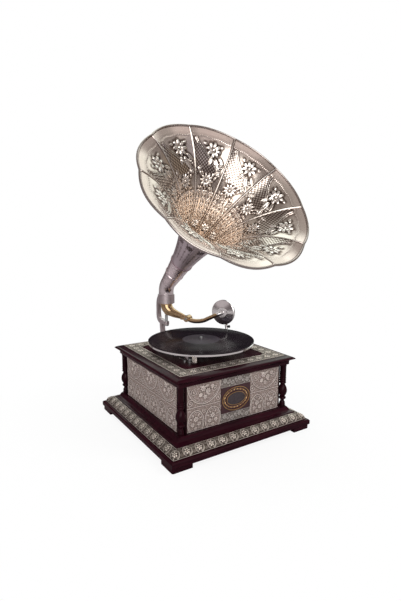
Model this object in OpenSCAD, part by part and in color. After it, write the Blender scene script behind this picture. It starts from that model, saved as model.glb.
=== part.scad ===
// Horn gramophone: a square wooden case on a moulded plinth, with a ten-petal
// horn on a swivelling elbow, a hinged tonearm and a spring motor inside.
// The drawing is made round the middle of the plinth, and placed() moves it so
// that the middle of the whole outline stands at the origin.

/* [Plinth] */
// Width of the plinth over its side edges
plinth_w = 370.6; // [360:0.2:390]
// Height of the four feet
foot_h = 8.9; // [6:0.1:14]
// Length of each foot along the plinth
foot_len = 48; // [35:1:70]
// Thickness of the plinth's plain side edge
plinth_edge_t = 13.5; // [10:0.5:16]
// Width over the top border of the embossed band
band_top_w = 323.4; // [318:0.2:330]
// Height of the band's top border above the ground
band_top_z = 36.6; // [34:0.1:38]
// Radius of the convex band
band_r = 17.6; // [16.5:0.1:17.8]
// Thickness of the embossed sheets on band, walls and top
sheet_t = 0.8; // [0.5:0.1:1.2]
// Height of the flat that the case stands on
case_z = 49.3; // [46:0.1:54]
// Thickness of the bottom board
bottom_t = 8; // [5:0.5:10]

/* [Case] */
// Width of the square case over its walls
case_w = 278; // [272:0.5:282]
// Thickness of the case walls
wall_t = 12; // [9:0.5:14]
// Height of the case walls
wall_h = 103.7; // [98:0.1:112]
// Plain wall between a corner column and the embossed sheet
sheet_edge = 3.9; // [3:0.1:10]
// Width of the middle strip of the front
strip_w = 79; // [70:0.5:90]
// Height of the plain plate in the middle strip
badge_h = 58; // [50:0.5:70]
// Width of the oval ring on that plate
ring_w = 74; // [60:0.5:76]
// Height of the oval ring on that plate
ring_h = 53; // [44:0.5:55]
// Width of the dark oval inside the ring
oval_w = 48; // [36:0.5:52]
// Height of the dark oval inside the ring
oval_h = 27; // [20:0.5:32]

/* [Columns] */
// Radius of the plain upper shaft of a corner column
shaft_r = 7.4; // [6:0.1:8]
// Radius of the vase-shaped bulb of a column
bulb_r = 10.5; // [9:0.1:11]
// Radius of the narrow necks of a column
neck_r = 4.4; // [3.5:0.1:5.5]

/* [Top] */
// Height of the top's lip above the case walls
lip_rise = 13.9; // [12:0.1:16]
// Height of the metal border above the case walls
top_rise = 20.8; // [19:0.1:24]
// Width over the metal border
border_w = 281.4; // [276:0.2:290]
// Distance of the top's thin lip beyond the metal border
lip_out = 18; // [15:0.2:24]
// Width of the dark panel that shows inside the border
panel_w = 220; // [210:1:232]
// Corner radius of that panel
panel_r = 22; // [10:1:30]
// Thickness of the motor board
board_t = 9; // [7:0.5:11]

/* [Turntable] */
// Diameter of the record
record_d = 254; // [250:0.5:260]
// Thickness of the record
record_t = 2; // [1.4:0.1:2.6]
// Diameter of the turntable
platter_d = 252; // [240:0.5:254]
// Height of the turntable's rim
platter_h = 5; // [4.5:0.5:11]
// Gap between the top's metal border and the turntable's rim
platter_gap = 19.7; // [14:0.1:22]
// Radius of the spindle tip that centres the record
tip_r = 3.6; // [3.5:0.05:3.7]

/* [Motor] */
// Space between the two motor plates
plate_gap = 36; // [35:0.5:38]
// Thickness of a motor plate
plate_t = 3; // [2:0.5:4]
// Gap between the motor board and the motor
bush_h = 8.8; // [7:0.1:12]
// Distance from the spindle to the spring barrel
barrel_dist = 60; // [59:0.5:62]
// Radius of the spring barrel
barrel_r = 42; // [36:0.5:42.5]
// Teeth on the spring barrel
barrel_teeth = 80; // [78:1:82]
// Tooth module of the barrel gear
barrel_module = 1.25; // [1.2:0.01:1.26]
// Teeth on the idler pinion
idler_teeth = 12; // [11:1:13]
// Teeth on the idler wheel
wheel_teeth = 60; // [58:1:62]
// Teeth on the spindle pinion
spindle_teeth = 15; // [14:1:16]
// Tooth module of the idler wheel
wheel_module = 1; // [0.96:0.01:1.02]
// Teeth on the worm wheel
worm_wheel_teeth = 40; // [38:1:42]
// Threads on the worm
worm_starts = 4; // [3:1:5]
// Pitch radius of the worm wheel
worm_wheel_r = 15.5; // [14.5:0.1:15.8]
// Pitch radius of the worm
worm_r = 4.2; // [4:0.1:4.6]
// Radius of the governor disc
disc_r = 14; // [12:0.5:14.5]
// Teeth on the winding crown wheel
crown_teeth = 36; // [32:1:38]
// Teeth on the winding pinion
pinion_teeth = 12; // [11:1:13]
// Tooth module of the winding gears
winding_module = 1.5; // [1.4:0.05:1.55]

/* [Crank] */
// Radius of the winding shaft
crank_shaft_r = 4; // [3.5:0.1:4.5]
// Throw of the crank
crank_throw = 78; // [60:1:80]
// Distance of the crank's arm from the side of the plinth
crank_gap = 14.7; // [11:0.5:20]
// Length of the wooden handle
handle_len = 56; // [45:1:70]
// Largest radius of the wooden handle
handle_r = 10.5; // [9:0.5:12]

/* [Horn] */
// Distance of the swivel axis behind the spindle
axis_back = 175; // [172:1:185]
// Petals of the horn
petals = 10; // [8:1:12]
// Radius of the horn's mouth at its seams
mouth_r = 192; // [170:1:200]
// Bulge of each petal's edge beyond the seams
lobe = 5; // [2:0.5:16]
// Setback of each petal's edge behind the seams
lobe_back = 2; // [0:0.5:8]
// Length of the horn along its axis, from mouth to elbow
horn_len = 344; // [320:1:360]
// Length of the plain conical neck of the horn
horn_neck_len = 94; // [80:1:110]
// Radius of the horn where it meets the elbow
horn_neck_r = 20; // [19.5:0.1:21]
// Thickness of the horn sheet
horn_t = 1.2; // [1:0.1:1.5]
// Radius of the rolled rim
bead_r = 2.5; // [2:0.1:3]
// Tilt of the horn's axis above the horizontal
horn_tilt = 39.7; // [35:0.1:45]
// Turn of the petals round the horn's axis
petal_turn = 11.6; // [0:0.1:18]

/* [Bracket and tonearm] */
// Height of the collar's upper face above the ground
collar_top = 288; // [284:0.5:292]
// Length of the collar
collar_h = 23; // [20:0.5:26]
// Outer radius of the collar
collar_r = 22.7; // [22:0.1:24]
// Radius of the collar's bore
collar_bore_r = 18; // [17:0.1:18.5]
// Radial clearance of the parts that turn in the collar
swivel_gap = 0.06; // [0.03:0.01:0.08]
// Thickness of the bracket casting
bracket_w = 10; // [8:0.5:12]
// Distance of the bracket's upright behind the swivel axis
column_back = 45; // [42:1:50]
// Distance of the bracket's branching behind the swivel axis
branch_back = 26; // [22:1:30]
// Turn of the tonearm from straight ahead, over the record
arm_turn = 27; // [20:0.5:30]
// Radius of the tonearm below the collar
arm_r = 15; // [13:0.25:15.5]
// Radius of the tonearm at its knuckle
arm_end_r = 6.2; // [5.5:0.1:6.8]
// Distance of the knuckle in front of the swivel axis
knuckle_s = 69; // [64:0.5:72]
// Height of the knuckle pin above the ground
knuckle_z = 229; // [226:0.5:231]
// Radius of the knuckle
knuckle_r = 8.6; // [8:0.1:9.5]
// Radius of the knuckle pin
knuckle_pin_r = 2; // [1.6:0.1:2.5]
// Thickness of each ear of the tonearm's fork
fork_t = 2.6; // [2:0.1:3.4]

/* [Sound box] */
// Distance of the sound box in front of the swivel axis
box_s = 165.4; // [160:0.2:170]
// Height of the sound box's middle above the ground
box_z = 252; // [250:0.5:255]
// Radius of the sound box
box_r = 32; // [29:0.5:33]
// Radius of the diaphragm
diaphragm_r = 26; // [23:0.5:27]
// Lean of the needle towards the record's edge side
needle_lean = 13.6; // [8:0.2:20]
// Radius of the needle
needle_r = 0.75; // [0.6:0.05:0.9]

/* [Hidden] */
$fn = 96;

// Clearances: beside a moving part, of a running fit and of a tight fit
slip = 0.3;
run = 0.05;
snug = 0.02;

wood = [0.16, 0.05, 0.06];
maroon = [0.24, 0.07, 0.08];
aged_silver = [0.62, 0.57, 0.53];
nickel = [0.72, 0.70, 0.70];
steel = [0.55, 0.56, 0.58];
blued = [0.35, 0.38, 0.46];
brass = [0.78, 0.60, 0.36];

// Case
plinth_half = plinth_w / 2;
edge_top = foot_h + plinth_edge_t;
band_half = band_top_w / 2;
case_half = case_w / 2;
case_in = case_half - wall_t;
wall_top = case_z + wall_h;
column_r_gap = bulb_r + 0.6;
sheet_w = case_w - 2 * (column_r_gap + sheet_edge);
sheet_face = case_half + sheet_t;
sheet_low = case_z + 0.5;
sheet_high = wall_top - 0.5;
sheet_gap = 0.4;
badge_z = case_z + 50.4;
badge_t = 1.6;
badge_face = case_half + badge_t;
border_half = border_w / 2;
top_half = border_half + lip_out;
lip_z = wall_top + lip_rise;
top_z = wall_top + top_rise;
border_z = top_z - 1;
board_half = case_in + 2;
board_low = border_z - board_t;

// Turntable, brake and speed lever
platter_low = top_z + platter_gap;
platter_top = platter_low + platter_h;
platter_t = 1.5;
boss_low = platter_low - 5;
boss_r = 14;
felt_t = 0.8;
record_low = platter_top + felt_t;
record_top = record_low + record_t;
spindle_r = 4;
lever_t = 2;
brake_at = [-72, -66];
brake_r = 3;
brake_z = top_z + 3;
pad_at = [-76.1, -92.2];
pad_turn = atan2(pad_at[1], pad_at[0]);
speed_at = [-76, -50];
speed_r = 2.5;

// Motor plates and gear train
plate_low = board_low - bush_h - plate_t;
lower_top = plate_low - plate_gap;
lower_low = lower_top - plate_t;
barrel_gear_r = barrel_module * barrel_teeth / 2;
idler_dist_barrel = barrel_module * (barrel_teeth + idler_teeth) / 2 + 0.1;
idler_dist_spindle = wheel_module * (wheel_teeth + spindle_teeth) / 2 + 0.1;
barrel_angle = 120;
barrel_x = barrel_dist * cos(barrel_angle);
barrel_y = barrel_dist * sin(barrel_angle);
idler_along = (pow(idler_dist_spindle, 2) + pow(barrel_dist, 2) - pow(idler_dist_barrel, 2))
  / (2 * barrel_dist);
idler_across = sqrt(pow(idler_dist_spindle, 2) - pow(idler_along, 2));
idler_x = idler_along * cos(barrel_angle) + idler_across * sin(barrel_angle);
idler_y = idler_along * sin(barrel_angle) - idler_across * cos(barrel_angle);
to_spindle = atan2(-idler_y, -idler_x);
to_idler = atan2(idler_y - barrel_y, idler_x - barrel_x);
idler_low = lower_top + 1;
idler_t = 2.5;
idler_r = 2.5;
gear_low = lower_top + 5;
gear_t = 4;
barrel_top = plate_low - 4;
barrel_floor = 2.5;
cover_t = 1.5;
arbor_r = 5;
pillar_at = [[-87, -37], [76, -37], [76, 88], [-87, 88]];
pillar_r = 4.5;
bolt_at = [[-72, -4], [72, 20], [44, 84]];
bolt_r = 2.5;

// Worm and governor
worm_z = lower_top + plate_gap / 2 - 1;
worm_y = -(worm_wheel_r + worm_r + 0.1);
worm_pitch = 2 * PI * worm_wheel_r / worm_wheel_teeth;
worm_lead = worm_pitch * worm_starts;
worm_len = 20;
worm_wheel_h = 6;
worm_slant = worm_lead / (2 * PI * worm_r) / worm_wheel_r * 180 / PI;
governor_r = 2;
disc_x = -68;
weight_x = -44;
collar_x = -22;
bearing_left = -88;
bearing_right = 16;
bearing_x = [bearing_left, bearing_right];
bearing_t = 4;
bearing_w = 12;
leaf_r = 6.5;
leaf_t = 0.5;

// Winding gears and crank
winding_z = lower_low - 15;
crown_pitch_r = winding_module * crown_teeth / 2;
pinion_pitch_r = winding_module * pinion_teeth / 2;
crown_pitch_z = winding_z + pinion_pitch_r;
crown_face = 3.5;
ear_x = [barrel_x + crown_pitch_r + 5, 74];
ear_t = 4;
crank_x = plinth_half + crank_gap;
crank_root = case_half + sheet_t + 2.5 + 4;
socket_len = 24;
crank_rod_r = 4.5;
bend_r = 12;
hub_len = 8;
handle_pin_r = 3;
crank_end = crank_x + hub_len + handle_len;

// Horn
neck_back = horn_len - horn_neck_len;
elbow_bend_r = 38;
elbow_turn = 90 - horn_tilt;
elbow_tangent = elbow_bend_r * tan(elbow_turn / 2);
elbow_low = collar_top + slip;
elbow_bend_z = elbow_low + 4.6;
axis_corner_z = elbow_bend_z + elbow_tangent;
horn_total = horn_len + elbow_tangent;
mouth_y = axis_back - horn_total * cos(horn_tilt);
mouth_z = axis_corner_z + horn_total * sin(horn_tilt);
horn_wall_in = horn_neck_r - 1.5;
journal_len = 11;
seam_h = 1.3;
seam_gap = 0.03;
lobe_fade = 26;
horn_rows = [0, 4, 9, 15, 23, 33, 46, 62, 82, 106, 134, 164, 196, 224, neck_back];
petal_shares = [0, 0.035, 0.16, 0.33, 0.5, 0.67, 0.84, 0.965, 1];
horn_skin = [for (p = [0:petals - 1], s = petal_shares, q = petal_column(s))
  let (turn = (p + s) * 360 / petals + petal_turn) [q[0] * cos(turn), q[0] * sin(turn), q[1]]];
horn_reach = max([for (q = horn_skin) q[0]]);
horn_front = mouth_y + min([for (q = horn_skin) q[2] * cos(horn_tilt) - q[1] * sin(horn_tilt)]);

// Bracket, tonearm and sound box
collar_low = collar_top - collar_h;
post_r = 4;
post_low = 206;
post_top = 233.5;
post_seat = post_low - 1.6;
wall_plate_z = case_z + 55;
wall_plate_h = 66;
wall_plate_w = 44;
wall_plate_t = 5;
plate_face = sheet_face + wall_plate_t;
screw_at = [for (x = [-15, 15], z = [-26, 26]) [x, z]];
ribbon_steps = 14;
branch_y = axis_back + branch_back;
branch_z = post_low + 4;
column_y = axis_back + column_back;
column_mid_z = (branch_z + collar_low) / 2;
column_path = bezier_path([[branch_y - 2, branch_z], [column_y + 3, branch_z - 2],
  [column_y, branch_z + 20], [column_y, column_mid_z]], ribbon_steps);
upper_path = bezier_path([[column_y, column_mid_z], [column_y, collar_low],
  [column_y - 2, collar_low + 14], [axis_back + collar_r - 3, collar_low + 13]], ribbon_steps);
column_ribbon = ribbon(column_path, 6.5, 4.5);
upper_ribbon = ribbon(upper_path, 4.5, 6.5);
bracket_back = max([for (q = concat(column_ribbon, upper_ribbon)) q[0]]);
fork_in = arm_end_r + 0.4;
fork_mid = fork_in + fork_t / 2;
fork_out = fork_in + fork_t;
box_k = 13;
ring_k = box_k + 4;
ring_t = 5;
needle_k = ring_k + 1;
needle_len = (box_z - record_top - 0.3) / cos(needle_lean);
chuck_y = -(box_r + 6.6);

// Middle of the whole outline
placed_x = (horn_reach - crank_end) / 2;
placed_y = -(horn_front + bracket_back) / 2;

module placed() {
  translate([placed_x, placed_y, 0]) children();
}

// Frame of the tonearm: X runs out along the arm, Y across it, away from the left side
module on_arm() {
  translate([0, axis_back, 0]) rotate([0, 0, arm_turn - 90]) children();
}

// Frame of the sound box: Z runs through it from back to front, -Y points down at the needle
module on_box() {
  on_arm() translate([box_s, 0, box_z]) rotate([0, -needle_lean, 0]) rotate([-90, 0, 0])
    rotate([0, 0, 180]) children();
}

// Frame of the horn: Z runs from the middle of the mouth back into the elbow
module on_horn() {
  translate([0, mouth_y, mouth_z]) rotate([-(90 + horn_tilt), 0, 0]) children();
}

function arc(cx, cy, r, from, to, n) =
  [for (i = [0:n]) let (a = from + (to - from) * i / n) [cx + r * cos(a), cy + r * sin(a)]];

function bezier(p, t) =
  pow(1 - t, 3) * p[0] + 3 * pow(1 - t, 2) * t * p[1] + 3 * (1 - t) * t * t * p[2] + pow(t, 3) * p[3];

function bezier_path(p, n) = [for (i = [0:n]) bezier(p, i / n)];

function unit(v) = v / norm(v);

function heading(path, i) =
  unit(path[min(i + 1, len(path) - 1)] - path[max(i - 1, 0)]);

// Outline of a bent bar in side view; its half width changes from one end to the other
function ribbon(path, from, to) =
  let (last = len(path) - 1,
    side = [for (i = [0:last]) let (d = heading(path, i)) [-d[1], d[0]] * (from + (to - from) * i / last)])
    concat([for (i = [0:last]) path[i] + side[i]], [for (i = [last:-1:0]) path[i] - side[i]]);

// Four mitred sides of a square frame; the profile is drawn as distance from the middle and height
module square_frame(profile, half) {
  low = min([for (p = profile) p[1]]) - 1;
  high = max([for (p = profile) p[1]]) + 1;
  for (side = [0:3]) rotate([0, 0, 90 * side]) intersection() {
    translate([-half, 0, 0]) rotate([90, 0, 90]) linear_extrude(2 * half) polygon(profile);
    translate([0, 0, low]) linear_extrude(high - low)
      polygon([[0, 0], [half + 1, half + 1], [-half - 1, half + 1]]);
  }
}

module rounded_square(half, r) {
  union() {
    square([2 * half, 2 * (half - r)], center = true);
    square([2 * (half - r), 2 * half], center = true);
    for (x = [-1, 1], y = [-1, 1]) translate([x * (half - r), y * (half - r)]) circle(r);
  }
}

module at_corners(d) {
  for (x = [-1, 1], y = [-1, 1]) translate([x * d, y * d, 0]) children();
}

// Tube of changing radius swept along a path that never runs along the vector side
module swept(path, radii, sides, side = [0, 1, 0]) {
  n = len(path);
  rings = [for (i = [0:n - 1])
    let (d = heading(path, i), a = unit(cross(d, side)), b = cross(d, a))
      for (k = [0:sides - 1]) let (t = 360 * k / sides)
        path[i] + radii[i] * (cos(t) * a + sin(t) * b)];
  walls = [for (i = [0:n - 2], k = [0:sides - 1]) let (m = (k + 1) % sides)
    each [[i * sides + k, (i + 1) * sides + m, i * sides + m],
      [i * sides + k, (i + 1) * sides + k, (i + 1) * sides + m]]];
  ends = [[for (k = [0:sides - 1]) k], [for (k = [sides - 1:-1:0]) (n - 1) * sides + k]];
  polyhedron(rings, concat(walls, ends));
}

// Outline of a gear with involute flanks; slack is the part of the pitch taken off each flank
module gear_outline(teeth, m, slack) {
  r = m * teeth / 2;
  pitch = 360 / teeth;
  root = r - 1.2 * m;
  base = r * cos(20);
  rises = [max(base, root + 0.1 * m), r, r + 0.9 * m];
  halves = [for (q = rises) let (a = acos(min(1, base / q)))
    pitch * (0.25 - slack) + (tan(20) - tan(a)) * 180 / PI - 20 + a];
  tooth = [[root, -halves[0]], [rises[0], -halves[0]], [rises[1], -halves[1]],
    [rises[2], -halves[2]], [rises[2], halves[2]], [rises[1], halves[1]],
    [rises[0], halves[0]], [root, halves[0]]];
  polygon([for (i = [0:teeth - 1], p = tooth)
    [p[0] * cos(i * pitch + p[1]), p[0] * sin(i * pitch + p[1])]]);
}

module feet() {
  color(wood) placed() intersection() {
    linear_extrude(foot_h) rounded_square(plinth_half - 2, 4);
    for (x = [-1, 1], y = [-1, 1]) translate([x * plinth_half, y * plinth_half, foot_h / 2])
      cube([2 * foot_len, 2 * foot_len, foot_h + 2], center = true);
  }
}

// Convex band of the plinth as points, grown outwards by grow
function ovolo(grow) = arc(band_half - 0.7, band_top_z - band_r, band_r + grow, 12, 90, 9);

module plinth_frame() {
  color(wood) placed() square_frame(concat(
    [[case_in - 14, foot_h], [plinth_half - 2, foot_h], [plinth_half, foot_h + 2],
      [plinth_half, edge_top - 3], [plinth_half - 2.5, edge_top - 0.6],
      [band_half + band_r, edge_top]],
    ovolo(-sheet_t),
    [[band_half - 0.7, band_top_z + 1], [band_half - 4, band_top_z + 2.6],
      [band_half - 8.5, band_top_z + 4.2], [band_half - 11, band_top_z + 6.2],
      [case_half + 9, case_z - 1.6], [case_half + 8, case_z], [case_in - 14, case_z]]),
    plinth_half);
}

module plinth_band() {
  color(aged_silver) placed() square_frame(concat(ovolo(0),
    [for (i = [9:-1:0]) ovolo(-sheet_t)[i]]), band_half + band_r + 1);
}

module bottom_board() {
  color(maroon) placed() translate([0, 0, foot_h + 3])
    linear_extrude(bottom_t) rounded_square(case_in - 14, 1);
}

module case_walls() {
  color(wood) placed() difference() {
    translate([0, 0, case_z]) linear_extrude(wall_h) difference() {
      square(case_w, center = true);
      square(2 * case_in, center = true);
    }
    at_corners(case_half) translate([0, 0, case_z - 1]) cylinder(h = wall_h + 2, r = column_r_gap);
    translate([case_in - 1, barrel_y, winding_z]) rotate([0, 90, 0])
      cylinder(h = wall_t + 2, r = crank_shaft_r + 2);
  }
}

// Half-round bead of a turned column, as points from bottom to top
function bead(z, h, inner, outer) =
  [for (a = [-90:30:90]) [inner + (outer - inner) * cos(a), z + h / 2 * (1 + sin(a))]];

// Swelling of a turned column between two necks, fullest at a share of its height
function bulb(z, h, low_r, high_r, full_r, share) =
  [for (t = [0:0.1:1]) let (s = t < share ? sin(90 * t / share) : cos(90 * (t - share) / (1 - share)))
    [(t < share ? low_r : high_r) + (full_r - (t < share ? low_r : high_r)) * pow(s, 0.8), z + h * t]];

module corner_columns() {
  collar = shaft_r + 0.6;
  turned = concat(
    [[0, 0], [collar, 0], [collar, 2.2]],
    bead(2.8, 2.6, neck_r + 1.2, shaft_r - 0.6),
    bead(6, 2.6, neck_r + 1.2, shaft_r - 0.4),
    bead(9.2, 2.6, neck_r + 1, shaft_r - 0.8),
    [[neck_r, 14.5], [neck_r, 16.6]],
    bead(18.6, 6, neck_r + 1, shaft_r + 1),
    bulb(25.4, 28, neck_r + 1, neck_r + 1.2, bulb_r, 0.5),
    [[neck_r + 1.2, 55.4]],
    bead(57, 4.4, shaft_r - 1.2, collar),
    bead(62.6, 4, shaft_r - 1, collar),
    bead(67.8, 3.6, shaft_r - 1, collar),
    [[shaft_r, 73], [shaft_r, wall_h - 5], [collar, wall_h - 4], [collar, wall_h], [0, wall_h]]);
  color(wood) placed() at_corners(case_half) translate([0, 0, case_z])
    rotate_extrude() polygon(turned);
}

// One embossed sheet against a wall, drawn for the front
module wall_sheet(x0, x1, z0, z1) {
  translate([x0, -sheet_face, z0]) cube([x1 - x0, sheet_t, z1 - z0]);
}

module front_sheet() {
  half = sheet_w / 2;
  strip = strip_w / 2;
  color(aged_silver) placed() {
    wall_sheet(-half, -strip - sheet_gap, sheet_low, sheet_high);
    wall_sheet(strip + sheet_gap, half, sheet_low, sheet_high);
    wall_sheet(-strip, strip, sheet_low, badge_z - badge_h / 2 - sheet_gap);
    wall_sheet(-strip, strip, badge_z + badge_h / 2 + sheet_gap, sheet_high);
  }
}

module left_sheet() {
  color(aged_silver) placed() rotate([0, 0, -90])
    wall_sheet(-sheet_w / 2, sheet_w / 2, sheet_low, sheet_high);
}

module right_sheet() {
  color(aged_silver) placed() difference() {
    rotate([0, 0, 90]) wall_sheet(-sheet_w / 2, sheet_w / 2, sheet_low, sheet_high);
    translate([case_half - 1, barrel_y, winding_z]) rotate([0, 90, 0])
      cylinder(h = sheet_t + 2, r = crank_shaft_r + 2);
  }
}

module back_sheet() {
  color(aged_silver) placed() rotate([0, 0, 180])
    wall_sheet(-sheet_w / 2, sheet_w / 2, sheet_low, sheet_high);
}

module badge_plate() {
  color(maroon) placed() translate([-strip_w / 2, -badge_face, badge_z - badge_h / 2])
    cube([strip_w, badge_t, badge_h]);
}

module oval(w, h) {
  polygon([for (i = [0:59]) [w / 2 * cos(6 * i), h / 2 * sin(6 * i)]]);
}

// Lays a flat outline on the badge plate with the given rise
module on_badge(rise) {
  translate([0, -badge_face, badge_z]) rotate([90, 0, 0]) linear_extrude(rise) children();
}

// Thin oval line of the given width inside an outline of w by h
module oval_line(w, h, line) {
  difference() {
    oval(w, h);
    oval(w - 2 * line, h - 2 * line);
  }
}

module badge_ring() {
  color(brass) placed() {
    on_badge(1.2) oval_line(ring_w, ring_h, 1.6);
    on_badge(1) oval_line(oval_w + 3, oval_h + 3, 1.2);
  }
}

module badge_oval() {
  color([0.16, 0.18, 0.24]) placed() on_badge(0.8) oval(oval_w, oval_h);
}

module top_frame() {
  ledge = board_half - 7;
  color(wood) placed() square_frame(concat(
    [[ledge, wall_top], [case_half + 9, wall_top], [case_half + 9.3, wall_top + 0.6],
      [case_half + 9.3, wall_top + 7.4], [case_half + 10.2, wall_top + 8.2]],
    [for (a = [10:20:90]) [top_half - 2.2 - 8 * cos(a), wall_top + 8.2 + 4.2 * sin(a)]],
    [[top_half - 0.6, lip_z - 0.6], [top_half, lip_z], [top_half - 0.4, lip_z + 1],
      [top_half - 2.8, lip_z + 2.9], [top_half - 7, lip_z + 4.8], [top_half - 12, lip_z + 6],
      [border_half + 0.4, top_z - 0.1], [border_half + 0.4, border_z],
      [board_half + 0.3, border_z], [board_half + 0.3, board_low], [ledge, board_low]]),
    top_half);
}

module motor_board() {
  color(maroon) placed() difference() {
    translate([-board_half, -board_half, board_low]) cube([2 * board_half, 2 * board_half, board_t]);
    translate([0, 0, board_low - 1]) cylinder(h = board_t + 2, r = spindle_r + 4);
    translate([speed_at[0], speed_at[1], board_low - 1]) cylinder(h = board_t + 2, r = speed_r + run);
    translate([brake_at[0], brake_at[1], board_low - 1]) cylinder(h = board_t + 2, r = brake_r + snug);
    for (p = bolt_at) translate([p[0], p[1], board_low - 1])
      cylinder(h = board_t + 2, r = bolt_r + snug);
  }
}

module top_border() {
  color(aged_silver) placed() translate([0, 0, border_z]) linear_extrude(top_z - border_z)
    difference() {
      square(border_w, center = true);
      rounded_square(panel_w / 2, panel_r);
    }
}

module platter() {
  rim = platter_d / 2;
  color(nickel) placed() rotate_extrude() polygon([
    [spindle_r + run, boss_low], [boss_r, boss_low], [boss_r + 2, boss_low + 2],
    [boss_r + 4, platter_top - platter_t],
    [rim - 2, platter_top - platter_t], [rim - 2, platter_low + 1.2], [rim - 1.4, platter_low],
    [rim, platter_low + 0.6], [rim, platter_top - 0.6], [rim - 0.6, platter_top],
    [spindle_r + run, platter_top]]);
}

module platter_felt() {
  color([0.13, 0.05, 0.06]) placed() translate([0, 0, platter_top]) difference() {
    cylinder(h = felt_t, r = platter_d / 2 - 2);
    translate([0, 0, -1]) cylinder(h = felt_t + 2, r = tip_r + 1);
  }
}

module record() {
  r = record_d / 2;
  color([0.09, 0.09, 0.10]) placed() rotate_extrude() polygon([
    [tip_r + 0.05, record_low], [r - 0.8, record_low], [r, record_low + 0.8],
    [r, record_top - 0.7], [r - 0.7, record_top], [r - 4, record_top],
    [r - 5, record_top - 0.25], [50.5, record_top - 0.25], [50, record_top],
    [tip_r + 0.05, record_top]]);
}

module spindle() {
  shoulder = boss_low - 4;
  color(steel) placed() {
    rotate_extrude() polygon([[0, lower_low - 3], [spindle_r - 1, lower_low - 3],
      [spindle_r, lower_low - 2], [spindle_r, shoulder], [spindle_r + 3, shoulder],
      [spindle_r + 3, boss_low], [spindle_r, boss_low], [spindle_r, platter_top],
      [tip_r, platter_top], [tip_r, record_top + 4.4], [tip_r - 0.8, record_top + 5.4],
      [tip_r - 2, record_top + 6], [0, record_top + 6.2]]);
    translate([0, 0, lower_top + slip]) linear_extrude(gear_t)
      rotate([0, 0, to_spindle + 180 + 180 / spindle_teeth])
        gear_outline(spindle_teeth, wheel_module, 0.04);
  }
}

module worm_wheel() {
  pitch = 360 / worm_wheel_teeth;
  root = worm_wheel_r - 1;
  tip = worm_wheel_r + 0.7;
  tooth = [[root, -0.32], [worm_wheel_r, -0.17], [tip, -0.1], [tip, 0.1], [worm_wheel_r, 0.17],
    [root, 0.32]];
  color(brass) placed() translate([0, 0, worm_z - worm_wheel_h / 2]) difference() {
    union() {
      rotate([0, 0, -90 + pitch / 2 - worm_slant * worm_wheel_h / 2])
        linear_extrude(worm_wheel_h, twist = -worm_slant * worm_wheel_h, slices = 2)
          polygon([for (i = [0:worm_wheel_teeth - 1], p = tooth)
            let (a = pitch * (i + p[1])) [p[0] * cos(a), p[0] * sin(a)]]);
      translate([0, 0, -3]) cylinder(h = worm_wheel_h + 6, r = 8);
    }
    translate([0, 0, -4]) cylinder(h = worm_wheel_h + 8, r = spindle_r + snug);
  }
}

module brake_lever() {
  arm = pad_at - brake_at;
  reach = norm(arm);
  swing = atan2(arm[1], arm[0]);
  color(nickel) placed() {
    difference() {
      union() {
        translate([brake_at[0], brake_at[1], brake_z]) cylinder(h = lever_t, r = 7);
        translate([brake_at[0], brake_at[1], brake_z]) rotate([0, 0, swing])
          translate([-20, -3, 0]) cube([20 + reach, 6, lever_t]);
      }
      translate([brake_at[0], brake_at[1], brake_z - 1]) cylinder(h = lever_t + 2, r = brake_r + run);
    }
    translate([pad_at[0], pad_at[1], brake_z + lever_t]) rotate([0, 0, pad_turn])
      translate([-3, -5, 0]) cube([5.8, 10, platter_low + 3 - brake_z - lever_t]);
    translate([brake_at[0], brake_at[1], brake_z + lever_t]) rotate([0, 0, swing])
      translate([-20, -3, 0]) cube([1.6, 6, 5]);
  }
}

module brake_pivot() {
  color(steel) placed() translate([brake_at[0], brake_at[1], 0]) {
    translate([0, 0, board_low]) cylinder(h = brake_z + lever_t + slip - board_low, r = brake_r);
    translate([0, 0, brake_z + lever_t + slip]) cylinder(h = 2, r1 = 5, r2 = 4);
    translate([0, 0, border_z]) cylinder(h = brake_z - slip - border_z, r = 5.5);
  }
}

module speed_lever() {
  z = border_z + slip;
  color(nickel) placed() translate([speed_at[0], speed_at[1], 0]) {
    translate([0, 0, worm_z - 4]) cylinder(h = z + lever_t - worm_z + 4, r = speed_r);
    translate([0, 0, z]) cylinder(h = lever_t, r = 6);
    translate([0, 0, z]) rotate([0, 0, 100]) translate([0, -2, 0]) cube([19, 4, 1.6]);
    translate([0, 0, z]) rotate([0, 0, 100]) translate([17.4, -2, 0]) cube([1.6, 4, 5]);
  }
}

module governor_brake() {
  color([0.30, 0.22, 0.16]) placed() difference() {
    union() {
      translate([speed_at[0], speed_at[1], worm_z - 3]) cylinder(h = 6, r = 5);
      translate([speed_at[0] - 1.5, speed_at[1], worm_z - 3])
        cube([3, worm_y - 4 - speed_at[1], 6]);
      translate([speed_at[0], worm_y - 12, worm_z - 3]) cube([disc_x - 0.6 - speed_at[0], 6, 6]);
    }
    translate([speed_at[0], speed_at[1], worm_z - 5]) cylinder(h = 10, r = speed_r + snug);
  }
}

// Outline shared by both motor plates
module plate_outline() {
  x0 = pillar_at[3][0] - 6;
  x1 = pillar_at[1][0] + 8;
  y0 = pillar_at[0][1] - 8;
  y1 = pillar_at[2][1] + 8;
  r = 8;
  union() {
    translate([x0 + r, y0]) square([x1 - x0 - 2 * r, y1 - y0]);
    translate([x0, y0 + r]) square([x1 - x0, y1 - y0 - 2 * r]);
    for (x = [x0 + r, x1 - r], y = [y0 + r, y1 - r]) translate([x, y]) circle(r);
  }
}

module plate_holes(low, h) {
  translate([0, 0, low - 1]) cylinder(h = h + 2, r = spindle_r + run);
  translate([idler_x, idler_y, low - 1]) cylinder(h = h + 2, r = idler_r + run);
}

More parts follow.
